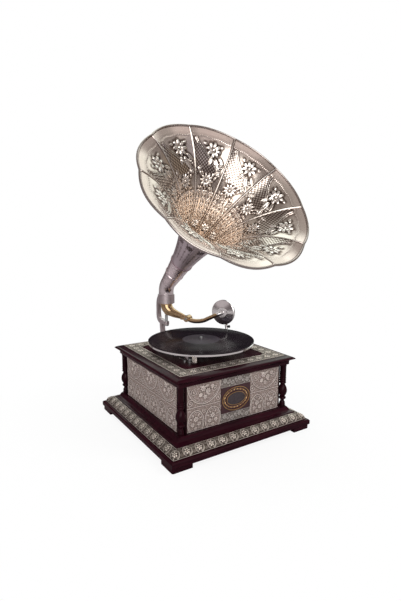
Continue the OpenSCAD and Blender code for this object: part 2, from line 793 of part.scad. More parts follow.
module motor_plate() {
  color(steel) placed() difference() {
    translate([0, 0, plate_low]) linear_extrude(plate_t) plate_outline();
    plate_holes(plate_low, plate_t);
    translate([barrel_x, barrel_y, plate_low - 1]) cylinder(h = plate_t + 2, r = arbor_r - 2 + run);
    for (p = bolt_at) translate([p[0], p[1], plate_low - 1])
      cylinder(h = plate_t + 2, r = bolt_r + snug);
  }
}

module lower_plate() {
  color(steel) placed() difference() {
    union() {
      translate([0, 0, lower_low]) linear_extrude(plate_t) plate_outline();
      for (x = ear_x) translate([x - ear_t / 2, barrel_y - 9, winding_z - 8])
        cube([ear_t, 18, lower_low - winding_z + 8]);
    }
    plate_holes(lower_low, plate_t);
    translate([barrel_x, barrel_y, lower_low - 1]) cylinder(h = plate_t + 2, r = arbor_r + run);
    for (x = ear_x) translate([x - ear_t, barrel_y, winding_z]) rotate([0, 90, 0])
      cylinder(h = 2 * ear_t, r = crank_shaft_r + run);
  }
}

module motor_pillars() {
  color(steel) placed() for (p = pillar_at) translate([p[0], p[1], lower_top])
    cylinder(h = plate_gap, r = pillar_r);
}

module motor_bolts() {
  color(steel) placed() for (p = bolt_at) translate([p[0], p[1], 0]) {
    translate([0, 0, plate_low - 3]) cylinder(h = border_z + 0.8 - plate_low + 3, r = bolt_r);
    translate([0, 0, border_z]) cylinder(h = 1.6, r1 = 5, r2 = 4);
    translate([0, 0, plate_low + plate_t]) cylinder(h = bush_h, r = 6);
    translate([0, 0, plate_low - 3]) cylinder(h = 3, r = 4.5);
  }
}

module spring_barrel() {
  color(steel) placed() translate([barrel_x, barrel_y, 0]) difference() {
    union() {
      translate([0, 0, gear_low]) linear_extrude(gear_t) rotate([0, 0, to_idler])
        gear_outline(barrel_teeth, barrel_module, 0.04);
      translate([0, 0, gear_low]) cylinder(h = barrel_top - cover_t - gear_low, r = barrel_r);
    }
    translate([0, 0, gear_low + barrel_floor]) cylinder(h = barrel_top - gear_low, r = barrel_r - 2);
    translate([0, 0, gear_low - 1]) cylinder(h = barrel_floor + 2, r = arbor_r + run);
  }
}

module barrel_cover() {
  color(brass) placed() translate([barrel_x, barrel_y, barrel_top - cover_t]) difference() {
    cylinder(h = cover_t, r = barrel_r);
    translate([0, 0, -1]) cylinder(h = cover_t + 2, r = arbor_r + run);
  }
}

module mainspring() {
  turns = 6;
  steps = 20;
  inner = arbor_r + 1.5;
  outer = barrel_r - 2.4;
  strip = 0.8;
  path = [for (i = [0:turns * steps]) [inner + (outer - inner) * i / (turns * steps), 360 * i / steps]];
  color(blued) placed() translate([barrel_x, barrel_y, gear_low + barrel_floor])
    linear_extrude(barrel_top - cover_t - gear_low - barrel_floor - 0.5) polygon(concat(
      [for (p = path) [(p[0] - strip) * cos(p[1]), (p[0] - strip) * sin(p[1])]],
      [for (i = [turns * steps:-1:0]) let (p = path[i]) [p[0] * cos(p[1]), p[0] * sin(p[1])]]));
}

module winding_arbor() {
  color(steel) placed() translate([barrel_x, barrel_y, 0]) rotate_extrude() polygon([
    [0, lower_low - 7], [arbor_r, lower_low - 7], [arbor_r, plate_low - 1],
    [arbor_r - 2, plate_low - 1], [arbor_r - 2, plate_low + plate_t + 1],
    [0, plate_low + plate_t + 1]]);
}

module crown_wheel() {
  pitch = PI * winding_module;
  half = pitch * 0.19;
  lean = tan(20);
  up = 1.5;
  down = 1.3;
  color(brass) placed() translate([barrel_x, barrel_y, crown_pitch_z]) difference() {
    union() {
      translate([0, 0, up]) cylinder(h = 3, r = crown_pitch_r + crown_face / 2);
      for (i = [0:crown_teeth - 1]) rotate([0, 0, 360 * i / crown_teeth])
        translate([crown_pitch_r - crown_face / 2, 0, 0]) rotate([90, 0, 90])
          linear_extrude(crown_face - 0.05) polygon([
            [-half - (up + 0.5) * lean, up + 0.5], [-half + down * lean, -down],
            [half - down * lean, -down], [half + (up + 0.5) * lean, up + 0.5]]);
    }
    translate([0, 0, -4]) cylinder(h = 10, r = arbor_r + snug);
  }
}

module winding_shaft() {
  x0 = ear_x[0] - 11;
  color(steel) placed() {
    translate([x0, barrel_y, winding_z]) rotate([0, 90, 0])
      cylinder(h = crank_root + socket_len - x0, r = crank_shaft_r);
    translate([barrel_x + crown_pitch_r - crown_face / 2, barrel_y, winding_z]) rotate([0, 90, 0])
      linear_extrude(crown_face) rotate([0, 0, 180 + 180 / pinion_teeth])
        gear_outline(pinion_teeth, winding_module, 0.05);
  }
}

module return_stop_spring() {
  turns = 6;
  steps = 12;
  pitch = 2.4;
  wire_r = 0.8;
  x0 = ear_x[1] - ear_t / 2 - turns * pitch - wire_r - 0.1;
  r = crank_shaft_r + wire_r + slip;
  path = [for (i = [0:turns * steps]) let (a = 360 * i / steps)
    [x0 + pitch * i / steps, barrel_y + r * cos(a), winding_z + r * sin(a)]];
  color(blued) placed() swept(path, [for (q = path) wire_r], 5, [1, 0, 0]);
}

module idler_wheel() {
  color(brass) placed() translate([idler_x, idler_y, 0]) {
    translate([0, 0, lower_low - 1]) cylinder(h = plate_low + plate_t + 1 - lower_low + 1, r = idler_r);
    translate([0, 0, idler_low]) linear_extrude(idler_t) rotate([0, 0, to_spindle])
      gear_outline(wheel_teeth, wheel_module, 0.04);
    translate([0, 0, idler_low + idler_t]) linear_extrude(gear_t + 2.5)
      rotate([0, 0, to_idler + 180 + 180 / idler_teeth])
        gear_outline(idler_teeth, barrel_module, 0.04);
    translate([0, 0, idler_low - 0.7]) cylinder(h = 0.8, r = 5);
  }
}

// Frame of the governor shaft: Z runs along it towards the right side
module on_governor() {
  translate([0, worm_y, worm_z]) rotate([0, 90, 0]) children();
}

module governor_shaft() {
  step = 360 / worm_starts;
  root = worm_r - 1;
  tip = worm_r + 0.7;
  thread = [[root, -0.32], [worm_r, -0.17], [tip, -0.1], [tip, 0.1], [worm_r, 0.17], [root, 0.32]];
  start = 90 - 360 * worm_len / 2 / worm_lead;
  color(steel) placed() on_governor() {
    translate([0, 0, -worm_len / 2]) linear_extrude(worm_len, twist = -360 * worm_len / worm_lead,
      slices = 30, segments = 24) polygon([for (i = [0:worm_starts - 1], p = thread)
        let (a = start + step * (i + p[1])) [p[0] * cos(a), p[0] * sin(a)]]);
    translate([0, 0, bearing_x[0] - 2]) cylinder(h = bearing_x[1] - bearing_x[0] + 4, r = governor_r);
    translate([0, 0, collar_x - 3]) cylinder(h = 6, r = leaf_r);
  }
}

module governor_bearings() {
  color(brass) placed() for (x = bearing_x) difference() {
    translate([x - bearing_t / 2, worm_y - bearing_w / 2, lower_top])
      cube([bearing_t, bearing_w, worm_z + 7 - lower_top]);
    translate([x - bearing_t / 2 - 1, worm_y, worm_z]) rotate([0, 90, 0])
      cylinder(h = bearing_t + 2, r = governor_r + run);
  }
}

module governor_springs() {
  color(blued) placed() on_governor() for (i = [0:2]) rotate([0, 0, 120 * i])
    translate([leaf_r, -2.5, disc_x + 4]) cube([leaf_t, 5, collar_x + 3 - disc_x - 4]);
}

module governor_weights() {
  color(steel) placed() on_governor() for (i = [0:2]) rotate([0, 0, 120 * i]) intersection() {
    translate([leaf_r + leaf_t, -6, weight_x - 6]) cube([10, 12, 12]);
    translate([leaf_r + leaf_t, 0, weight_x]) sphere(r = 6);
  }
}

module governor_disc() {
  color(brass) placed() on_governor() difference() {
    union() {
      translate([0, 0, disc_x]) cylinder(h = 2, r = disc_r);
      translate([0, 0, disc_x]) cylinder(h = 9, r = leaf_r);
    }
    translate([0, 0, disc_x - 1]) cylinder(h = 12, r = governor_r + snug);
  }
}

module crank_arm() {
  socket_r = crank_shaft_r + 3;
  rod_from = crank_root + socket_len + 4;
  color(nickel) placed() translate([0, barrel_y, winding_z]) {
    difference() {
      translate([crank_root, 0, 0]) rotate([0, 90, 0]) cylinder(h = rod_from - crank_root, r = socket_r);
      translate([crank_root - 1, 0, 0]) rotate([0, 90, 0])
        cylinder(h = socket_len + 1 + snug, r = crank_shaft_r + snug);
    }
    translate([rod_from, 0, 0]) rotate([0, 90, 0])
      cylinder(h = crank_x - bend_r - rod_from, r = crank_rod_r);
    translate([crank_x - bend_r, 0, -bend_r]) rotate([90, 0, 0])
      rotate_extrude(angle = 90) translate([bend_r, 0]) circle(crank_rod_r);
    translate([crank_x, 0, -crank_throw]) {
      cylinder(h = crank_throw - bend_r, r = crank_rod_r);
      rotate([0, 90, 0]) cylinder(h = hub_len, r = crank_rod_r + 2);
      rotate([0, 90, 0]) cylinder(h = hub_len + handle_len, r = handle_pin_r);
      sphere(crank_rod_r + 2);
    }
  }
}

module crank_handle() {
  r = handle_r;
  bore = handle_pin_r + run;
  color(wood) placed() translate([crank_x + hub_len + 0.2, barrel_y, winding_z - crank_throw])
    rotate([0, 90, 0]) rotate_extrude() polygon(concat(
      [[bore, 0], [6, 0], [7, 1.5], [6.2, 3.5]],
      [for (t = [0.1:0.1:1]) [6.2 + (r - 6.2) * sin(180 * t * 0.55), 3.5 + (handle_len - 10) * t]],
      [[r - 2, handle_len - 3], [r - 5, handle_len - 0.4], [bore, handle_len - 0.4]]));
}

module crank_plate() {
  color(brass) placed() translate([sheet_face, barrel_y, winding_z]) rotate([0, 90, 0])
    difference() {
      union() {
        cylinder(h = 1.2, r = 17);
        cylinder(h = 2.5, r = 10);
      }
      translate([0, 0, -1]) cylinder(h = 5, r = crank_shaft_r + 0.4);
    }
}

module back_bracket() {
  stem = bezier_path([[plate_face - 3, wall_plate_z - 4], [plate_face + 42, wall_plate_z - 8],
    [branch_y - 10, branch_z - 70], [branch_y, branch_z]], ribbon_steps);
  shelf = bezier_path([[branch_y + 4, branch_z], [branch_y - 6, branch_z],
    [axis_back + 8, post_low + 3], [axis_back, post_low + 3]], ribbon_steps);
  color([0.50, 0.47, 0.48]) placed() difference() {
    union() {
      translate([-bracket_w / 2, 0, 0]) rotate([90, 0, 90]) linear_extrude(bracket_w) union() {
        polygon(ribbon(stem, 9, 6));
        polygon(column_ribbon);
        polygon(upper_ribbon);
        polygon(ribbon(shelf, 6, 4));
        translate([branch_y, branch_z]) circle(6.4);
      }
      translate([0, axis_back, collar_low]) cylinder(h = collar_h, r = collar_r);
      translate([0, axis_back, post_seat]) cylinder(h = 9, r = post_r + 3.5);
      translate([-wall_plate_w / 2, sheet_face, wall_plate_z - wall_plate_h / 2])
        cube([wall_plate_w, wall_plate_t, wall_plate_h]);
    }
    translate([0, axis_back, collar_low - 1]) cylinder(h = collar_h + 2, r = collar_bore_r);
    translate([0, axis_back, post_seat - 1]) cylinder(h = 11, r = post_r + snug);
    for (p = screw_at) translate([p[0], sheet_face - 1, wall_plate_z + p[1]]) rotate([-90, 0, 0])
      cylinder(h = wall_plate_t + 3, r = 2.2);
  }
}

module bracket_screws() {
  color(steel) placed() for (p = screw_at)
    translate([p[0], 0, wall_plate_z + p[1]]) rotate([-90, 0, 0]) {
      translate([0, 0, plate_face]) cylinder(h = 2.2, r1 = 4.4, r2 = 3.2);
      translate([0, 0, sheet_face]) cylinder(h = plate_face - sheet_face + 1, r = 2.15);
    }
}

// Radius of the horn's outer face at a distance behind the mouth, along a seam
function flare(d) =
  let (x = d / horn_len)
    horn_neck_r + (mouth_r - horn_neck_r)
      * (0.95 * exp(-3.95 * x) * (1 - pow(x, 6)) + 0.05 * exp(-x / 0.03));

// Turn of that face away from the horn's axis
function flare_turn(d) = atan(flare(d - 0.5) - flare(d + 0.5));

// One point of a petal in the half plane of its column, as radius and depth;
// inset goes through the sheet, and share runs from seam to seam
function petal_point(d, share, inset) =
  let (swell = sin(180 * share) * exp(-d / lobe_fade), turn = flare_turn(d))
    [flare(d) + lobe * swell - inset * cos(turn), d + lobe_back * swell - inset * sin(turn)];

// Closed outline of a petal's column: outer face, inner face and rolled rim
function petal_column(share) =
  let (fold = share == 0 || share == 1 ? seam_h : 0, turn = flare_turn(0),
    middle = petal_point(0, share, horn_t / 2))
    concat([for (d = horn_rows) petal_point(d, share, 0)],
      [for (i = [len(horn_rows) - 1:-1:0]) petal_point(horn_rows[i], share, horn_t + fold)],
      [for (a = [150:60:390]) middle + bead_r * [cos(turn + a) + sin(turn), sin(turn + a) - cos(turn)]]);

module petal() {
  columns = [for (s = petal_shares) petal_column(s)];
  around = len(columns[0]);
  last = len(columns) - 1;
  points = [for (i = [0:last], q = columns[i])
    let (turn = petal_shares[i] * 360 / petals, gap = i == 0 ? seam_gap : i == last ? -seam_gap : 0)
      [q[0] * cos(turn) - gap * sin(turn), q[0] * sin(turn) + gap * cos(turn), q[1]]];
  sides = [for (i = [0:last - 1], k = [0:around - 1])
    let (m = (k + 1) % around, a = i * around, b = a + around)
      each [[a + k, a + m, b + m], [a + k, b + m, b + k]]];
  rows = len(horn_rows);
  sheet = [for (k = [0:rows - 2]) let (m = 2 * rows - 1 - k) each [[k + 1, k, m], [k + 1, m, m - 1]]];
  cap = concat(sheet, [for (k = [2 * rows - 1:around - 2]) [0, k + 1, k]]);
  far = [for (t = cap) [last * around + t[0], last * around + t[2], last * around + t[1]]];
  polyhedron(points, concat(sides, cap, far));
}

module horn_bell() {
  color(aged_silver) placed() on_horn()
    for (p = [0:petals - 1]) rotate(p * 360 / petals + petal_turn) petal();
}

module horn_neck() {
  r0 = flare(neck_back);
  r1 = horn_neck_r;
  half = horn_neck_len / 2;
  color([0.45, 0.40, 0.42]) placed() on_horn() translate([0, 0, neck_back]) rotate_extrude()
    polygon([[r0 - 1.6, 0.05], [r0 + 1.4, 0.05], [r0 + 1.8, 2], [r0 + 1.2, 4], [r0 - 0.6, 4.4],
      [(r0 + r1) / 2, half], [(r0 + r1) / 2 + 1, half + 1], [(r0 + r1) / 2 + 1, half + 3],
      [(r0 + r1) / 2 - 0.3, half + 4], [r1, horn_neck_len], [horn_wall_in, horn_neck_len],
      [horn_wall_in, horn_neck_len - 18], [r0 - 3, 6]]);
}

module horn_elbow() {
  tube_r = horn_neck_r;
  bore = tube_r - 3.2;
  color(nickel) placed() difference() {
    union() {
      translate([0, axis_back, elbow_low]) cylinder(h = elbow_bend_z - elbow_low, r = tube_r);
      translate([0, axis_back - elbow_bend_r, elbow_bend_z]) rotate([90, 0, 90])
        rotate_extrude(angle = elbow_turn) translate([elbow_bend_r, 0]) circle(tube_r);
      translate([0, axis_back, elbow_low - journal_len])
        cylinder(h = journal_len + 1, r = collar_bore_r - swivel_gap);
      on_horn() translate([0, 0, horn_len - 16]) cylinder(h = 16.5, r = horn_wall_in - 0.05);
    }
    translate([0, axis_back, elbow_low - journal_len - 1])
      cylinder(h = elbow_bend_z - elbow_low + journal_len + 1, r = bore);
    on_horn() translate([0, 0, horn_len - 17]) cylinder(h = 18, r = bore);
  }
}

module tonearm() {
  journal_top = elbow_low - journal_len - slip;
  path = bezier_path([[0, 0, collar_low - 2], [1, 0, collar_low - 26], [30, 0, knuckle_z + 9],
    [knuckle_s - knuckle_r - 0.8, 0, knuckle_z + 1.5]], 18);
  radii = [for (i = [0:18]) let (t = i / 18) arm_r - (arm_r - arm_end_r) * pow(t, 1.6)
    + 1.2 * sin(180 * min(1, t / 0.5))];
  color(brass) placed() {
    difference() {
      union() {
        translate([0, axis_back, collar_low - 3]) cylinder(h = journal_top - collar_low + 3,
          r = collar_bore_r - swivel_gap);
        on_arm() swept(path, radii, 22);
      }
      translate([0, axis_back, collar_low - 2]) cylinder(h = journal_top - collar_low + 3, r = 13.5);
    }
    translate([0, axis_back, post_top + slip]) cylinder(h = 9, r = 5);
    on_arm() for (side = [-1, 1]) difference() {
      union() {
        translate([knuckle_s, side * fork_mid, knuckle_z]) rotate([90, 0, 0])
          cylinder(h = fork_t, r = knuckle_r, center = true);
        translate([knuckle_s - 12, side * fork_mid - fork_t / 2, knuckle_z - 3.5])
          cube([8, fork_t, 9]);
      }
      translate([knuckle_s, side * fork_mid, knuckle_z]) rotate([90, 0, 0])
        cylinder(h = fork_t + 2, r = knuckle_pin_r + snug, center = true);
    }
    on_arm() translate([knuckle_s - 15, 0, knuckle_z + 1])
      cube([6, 2 * fork_out, 9], center = true);
  }
}

module tonearm_post() {
  color(steel) placed() translate([0, axis_back, 0]) {
    translate([0, 0, post_seat - 1]) cylinder(h = post_top - 3 - post_seat + 1, r = post_r);
    translate([0, 0, post_top - 3]) cylinder(h = 3, r1 = post_r, r2 = 1.6);
    translate([0, 0, post_seat - 3]) cylinder(h = 3, r = post_r + 2.5);
  }
}

module knuckle_pin() {
  color(steel) placed() on_arm() translate([knuckle_s, 0, knuckle_z]) rotate([90, 0, 0]) {
    cylinder(h = 2 * fork_out + 1, r = knuckle_pin_r, center = true);
    for (side = [-1, 1]) translate([0, 0, side * (fork_out + 0.7)])
      cylinder(h = 1.4, r = 3.4, center = true);
  }
}

module gooseneck() {
  end = [box_s, box_k - 5, box_z];
  path = concat(
    bezier_path([[knuckle_s + 3, 0, knuckle_z - 2], [knuckle_s + 12, 0, knuckle_z - 8],
      [knuckle_s + 44, 0, knuckle_z - 6], [box_s - 36, 0, box_z - 18]], 14),
    [for (i = [1:6]) bezier([[box_s - 36, 0, box_z - 18], [box_s - 12, 0, box_z - 6],
      [box_s, 0, box_z], end], i / 6)]);
  radii = [for (i = [0:20]) arm_end_r - 1.2 * i / 20];
  color(brass) placed() {
    on_arm() {
      difference() {
        union() {
          translate([knuckle_s, 0, knuckle_z]) rotate([90, 0, 0])
            cylinder(h = 2 * (fork_in - slip), r = knuckle_r, center = true);
          swept(path, radii, 18, [0, 0, 1]);
        }
        translate([knuckle_s, 0, knuckle_z]) rotate([90, 0, 0])
          cylinder(h = 14, r = knuckle_pin_r + run, center = true);
      }
    }
    on_box() translate([0, 0, box_k - 5.6]) cylinder(h = 6.6, r = 6);
  }
}

module soundbox_back() {
  low = box_k - 1;
  color(nickel) placed() on_box() rotate_extrude() polygon([
    [6 + run, low - 3], [13, low - 3], [14, low - 1], [14.4, low + 0.4], [20, low + 1.2],
    [box_r - 4, low + 2.6], [box_r - 1, low + 3.2], [box_r, low + 4], [box_r, ring_k],
    [diaphragm_r + 1.5, ring_k], [diaphragm_r + 1.5, ring_k - 1], [diaphragm_r - 6, ring_k - 1.2],
    [10, low + 2.4], [6 + run, low + 2.4]]);
}

module soundbox_ring() {
  color(nickel) placed() on_box() rotate_extrude() polygon([
    [diaphragm_r - 2, ring_k + 1.4], [diaphragm_r + 1.4, ring_k + 1.4], [diaphragm_r + 1.4, ring_k],
    [box_r, ring_k], [box_r, ring_k + 3], [box_r - 1.5, ring_k + ring_t - 0.6],
    [box_r - 3, ring_k + ring_t], [diaphragm_r, ring_k + ring_t], [diaphragm_r - 2, ring_k + 3.6]]);
}

module diaphragm() {
  color([0.80, 0.74, 0.62]) placed() on_box() {
    translate([0, 0, ring_k + 0.1]) cylinder(h = 0.5, r = diaphragm_r + 1);
    for (z = [ring_k - 0.95, ring_k + 0.6]) translate([0, 0, z]) difference() {
      cylinder(h = 0.8 + (z < ring_k ? 0.25 : 0), r = diaphragm_r + 1);
      translate([0, 0, -1]) cylinder(h = 4, r = diaphragm_r - 1.8);
    }
  }
}

// The bar runs from the chuck below the rim over the front and down to the diaphragm's middle
module needle_bar() {
  front = ring_k + ring_t + 0.6;
  color(nickel) placed() on_box() difference() {
    union() {
      translate([-1.6, 0, 0]) rotate([90, 0, 90]) linear_extrude(3.2) polygon([
        [-1.6, ring_k + 0.7], [-1.6, front + 0.6], [-box_r + 4, front], [-box_r - 0.6, front],
        [-box_r - 0.6, ring_k + 0.5], [-box_r - 4, ring_k - 1], [-box_r - 4, front + 1.6],
        [-box_r + 4, front + 2], [1.6, front + 2.2], [1.6, ring_k + 0.7]]);
      translate([0, -box_r - 1.6, needle_k]) rotate([90, 0, 0]) cylinder(h = 10, r = 3.2);
    }
    translate([0, -box_r - 4, needle_k]) rotate([90, 0, 0]) cylinder(h = 20, r = needle_r + 0.03);
    translate([0, chuck_y, needle_k]) rotate([0, -90, 0]) cylinder(h = 5, r = 1.25);
  }
}

module needle() {
  color(steel) placed() on_box() translate([0, 0, needle_k]) rotate([90, 0, 0]) {
    translate([0, 0, box_r + 4.4]) cylinder(h = needle_len - box_r - 8.4, r = needle_r);
    translate([0, 0, needle_len - 4]) cylinder(h = 4, r1 = needle_r, r2 = 0.15);
  }
}

module needle_screw() {
  color([0.12, 0.12, 0.13]) placed() on_box() translate([0, chuck_y, needle_k])
    rotate([0, -90, 0]) {
      translate([0, 0, needle_r + 0.1]) cylinder(h = 6, r = 1.2);
      translate([0, 0, 6]) cylinder(h = 4, r = 3.4);
      translate([0, 0, 4.6]) cylinder(h = 1.5, r = 2.2);
    }
}

feet();
plinth_frame();
plinth_band();
bottom_board();
case_walls();
corner_columns();
front_sheet();
left_sheet();
right_sheet();
back_sheet();
badge_plate();
badge_ring();
badge_oval();
top_frame();
motor_board();
top_border();
platter();
platter_felt();
record();
spindle();
worm_wheel();
brake_lever();
brake_pivot();
speed_lever();
governor_brake();
motor_plate();
lower_plate();
motor_pillars();
motor_bolts();
spring_barrel();
barrel_cover();
mainspring();
winding_arbor();
crown_wheel();
winding_shaft();
return_stop_spring();
idler_wheel();
governor_shaft();
governor_weights();
governor_springs();
governor_disc();
governor_bearings();
crank_arm();
crank_handle();
crank_plate();
back_bracket();
bracket_screws();
horn_bell();
horn_neck();
horn_elbow();
tonearm();
tonearm_post();
gooseneck();
knuckle_pin();
soundbox_back();
soundbox_ring();
diaphragm();
needle_bar();
needle();
needle_screw();
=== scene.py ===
import math

import bmesh
import bpy
import numpy as np
from mathutils import Matrix, Vector


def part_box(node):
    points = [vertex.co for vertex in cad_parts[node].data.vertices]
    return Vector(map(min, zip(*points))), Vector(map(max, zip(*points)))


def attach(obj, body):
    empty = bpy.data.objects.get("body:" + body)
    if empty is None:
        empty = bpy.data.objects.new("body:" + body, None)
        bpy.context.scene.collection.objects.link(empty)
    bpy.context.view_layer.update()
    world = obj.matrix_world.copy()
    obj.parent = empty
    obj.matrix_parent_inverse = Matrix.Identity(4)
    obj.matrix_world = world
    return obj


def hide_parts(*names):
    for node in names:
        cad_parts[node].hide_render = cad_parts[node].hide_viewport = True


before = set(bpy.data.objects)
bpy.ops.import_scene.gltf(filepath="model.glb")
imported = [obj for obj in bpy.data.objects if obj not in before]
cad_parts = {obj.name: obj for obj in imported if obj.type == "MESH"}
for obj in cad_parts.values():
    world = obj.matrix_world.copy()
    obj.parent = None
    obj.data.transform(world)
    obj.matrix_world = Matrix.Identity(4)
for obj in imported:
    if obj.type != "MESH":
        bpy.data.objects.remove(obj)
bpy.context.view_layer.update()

# lengths are in metres, but in millimetres where a name ends in Mm and in the relief drawings
mm = 0.001
platterLow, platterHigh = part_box("platter")
# the point on the ground under the spindle, about which all is laid out
spindleFoot = Vector(((platterLow.x + platterHigh.x) / 2, (platterLow.y + platterHigh.y) / 2, 0))
boxLow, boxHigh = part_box("soundbox_back")
boxMiddle = (boxLow + boxHigh) / 2
print("frame loaded, spindle axis at", tuple(round(v, 4) for v in spindleFoot))


# shader helpers
class Wire:
    # one output socket; Python's operators add Math nodes
    def __init__(self, tree, socket):
        self.tree, self.socket = tree, socket

    def calc(self, operation, first, second=None, clamp=False):
        made = self.tree.nodes.new("ShaderNodeMath")
        made.operation = operation
        made.use_clamp = clamp
        plug(self.tree, first, made.inputs[0])
        if second is not None:
            plug(self.tree, second, made.inputs[1])
        return Wire(self.tree, made.outputs[0])

    def __add__(self, other):
        return self.calc("ADD", self, other)

    __radd__ = __add__

    def __sub__(self, other):
        return self.calc("SUBTRACT", self, other)

    def __rsub__(self, other):
        return self.calc("SUBTRACT", other, self)

    def __mul__(self, other):
        return self.calc("MULTIPLY", self, other)

    __rmul__ = __mul__

    def __truediv__(self, other):
        return self.calc("DIVIDE", self, other)

    def sine(self):
        return self.calc("SINE", self)

    def clipped(self):
        return self.calc("ADD", self, 0.0, clamp=True)


def plug(tree, value, target):
    if isinstance(value, Wire):
        tree.links.new(value.socket, target)
    else:
        target.default_value = value


class Shading:
    # adds nodes to one tree, of a material or of the world
    def __init__(self, tree):
        self.tree = tree

    def add(self, kind, settings=None, sockets=None, out=0):
        made = self.tree.nodes.new("ShaderNode" + kind)
        for key, value in (settings or {}).items():
            if key == "stops":
                setStops(made.color_ramp, value)
            else:
                setattr(made, key, value)
        for key, value in (sockets or {}).items():
            plug(self.tree, value, made.inputs[key])
        return Wire(self.tree, made.outputs[out])

    def noise(self, where, scale, detail=4, rough=0.55, warp=0.0):
        return self.add("TexNoise", None, {"Vector": where, "Scale": scale, "Detail": detail,
                                           "Roughness": rough, "Distortion": warp}, out="Fac")

    def ramp(self, value, *stops):
        return self.add("ValToRGB", {"stops": stops}, {"Fac": value}, out="Color")

    def mix(self, share, first, second, blend="MIX"):
        return self.add("Mix", {"data_type": "RGBA", "blend_type": blend},
                        {0: share, 6: first, 7: second}, out=2)

    def stored(self, name):
        return self.add("Attribute", {"attribute_name": name}, out="Fac")

    def length(self, vector):
        return self.add("VectorMath", {"operation": "LENGTH"}, {0: vector}, out="Value")

    def rays(self, *kinds):
        path = self.tree.nodes.new("ShaderNodeLightPath")
        return [Wire(self.tree, path.outputs[kind]) for kind in kinds]


class Finish(Shading):
    # a material with one Principled shader, whose fixed values are set on its own sockets
    def __init__(self, name, **fixed):
        self.material = bpy.data.materials.new(name)
        self.material.use_nodes = True
        super().__init__(self.material.node_tree)
        self.shader = self.tree.nodes["Principled BSDF"]
        for key, value in fixed.items():
            self.shader.inputs[socketNames[key]].default_value = value

    def place(self, scale=(1, 1, 1), centre=(0, 0, 0)):
        here = self.add("TexCoord", out="Object")
        offset = tuple(-c * s for c, s in zip(centre, scale))
        return self.add("Mapping", None, {"Vector": here, "Location": offset, "Scale": scale})

    def bump(self, height, distance, strength=1.0):
        return self.add("Bump", None, {"Height": height, "Distance": distance, "Strength": strength},
                        out="Normal")

    def set(self, **links):
        for key, value in links.items():
            plug(self.tree, value, self.shader.inputs[socketNames[key]])
        return self


socketNames = {"baseColor": "Base Color", "roughness": "Roughness", "metallic": "Metallic",
               "coatWeight": "Coat Weight", "coatRoughness": "Coat Roughness", "normal": "Normal",
               "specular": "Specular IOR Level", "sheenWeight": "Sheen Weight"}


def setStops(ramp, stops):
    while len(ramp.elements) < len(stops):
        ramp.elements.new(0.5)
    for element, (place, colour) in zip(ramp.elements, stops):
        element.position = place
        element.color = colour if len(colour) == 4 else (*colour, 1)


def grey(v):
    return (v, v, v, 1)


# finishes, each named for the surface that it dresses
edgeSharpness = 4000  # a colour changes over a quarter of a millimetre


def woodFinish(name, dark, light, along):
    # thick lacquer over fine grain, drawn out along one axis: 0 for X, 1 for Y, 2 for Z
    made = Finish(name, roughness=0.24, coatWeight=0.06, coatRoughness=0.05, specular=0.05)
    stretch = [60, 60, 60]
    stretch[along] = 5
    grain = made.noise(made.place(tuple(stretch)), 3.0, detail=8, rough=0.65, warp=0.6)
    cloud = made.noise(made.place(), 9.0, detail=3)
    tone = made.ramp(grain * 0.7 + cloud * 0.3, (0.32, dark), (0.68, light))
    ripple = made.noise(made.place(), 60.0, detail=2)
    return made.set(baseColor=tone,
                    normal=made.bump(grain * 0.35 + ripple, distance=0.00018, strength=0.5)).material


def embossedFinish(name, valley, middle, peak, metal=0.55, gloss=0.40, grime=0.25):
    # pressed sheet: the stored tone paints shade into the hollows and a highlight onto the tops
    made = Finish(name, metallic=metal, specular=0.4)
    relief = made.stored("relief")
    worn = made.noise(made.place(), 38.0, detail=6, rough=0.7)
    fine = made.noise(made.place(), 420.0, detail=3, rough=0.6)
    level = (relief + worn * grime - grime * 0.5).clipped()
    # the valley colour is painted shade and the peak colour a painted highlight
    tone = made.ramp(level, (0.05, valley), (0.45, middle), (0.90, peak))
    rough = (gloss + (1 - relief) * 0.12 + worn * 0.12).clipped()
    return made.set(baseColor=tone, roughness=rough,
                    normal=made.bump(fine * 0.6 + worn * 0.8, distance=0.00035, strength=0.5)).material


def hornFinish():
    # inside: warm silver by the rim, paler and more golden in the throat; outside: mauve grey
    # raised forms get a painted highlight, and what lies deep between them gets painted shade
    made = Finish("hornMetal", metallic=0.96, specular=0.5)
    relief, depth, inside = made.stored("relief"), made.stored("depth"), made.stored("inside")
    worn = made.noise(made.place(), 11.0, detail=5, rough=0.6, warp=0.4)
    fine = made.noise(made.place(), 300.0, detail=3)
    along = (depth + worn * 0.16 - 0.08).clipped()
    metal = made.ramp(along, (0.0, (0.66, 0.56, 0.52)), (0.10, (0.70, 0.64, 0.58)),
                      (0.28, (0.66, 0.57, 0.50)), (0.38, (0.84, 0.71, 0.60)), (0.54, (0.93, 0.81, 0.70)),
                      (0.85, (0.86, 0.79, 0.73)))
    outer = made.ramp(worn, (0.3, (0.50, 0.42, 0.46)), (0.7, (0.70, 0.60, 0.65)))
    clean = made.mix(inside, outer, metal)
    # painted highlight: the raised forms are mixed towards near white
    lit = made.mix(((relief - 0.55) * 2.2).clipped(), clean, (0.93, 0.90, 0.86, 1))
    # painted shade: the colour is darkened where the relief is low
    shade = made.ramp((relief + worn * 0.16 - 0.08).clipped(), (0.02, (0.06, 0.045, 0.04)),
                      (0.30, (0.36, 0.32, 0.30)), (0.5, grey(1.0)))
    tone = made.mix(1.0, lit, shade, "MULTIPLY")
    rough = (0.13 + worn * 0.09 + (1 - inside) * 0.18).clipped()
    return made.set(baseColor=tone, roughness=rough,
                    normal=made.bump(fine * 0.5 + worn, distance=0.0004, strength=0.4)).material


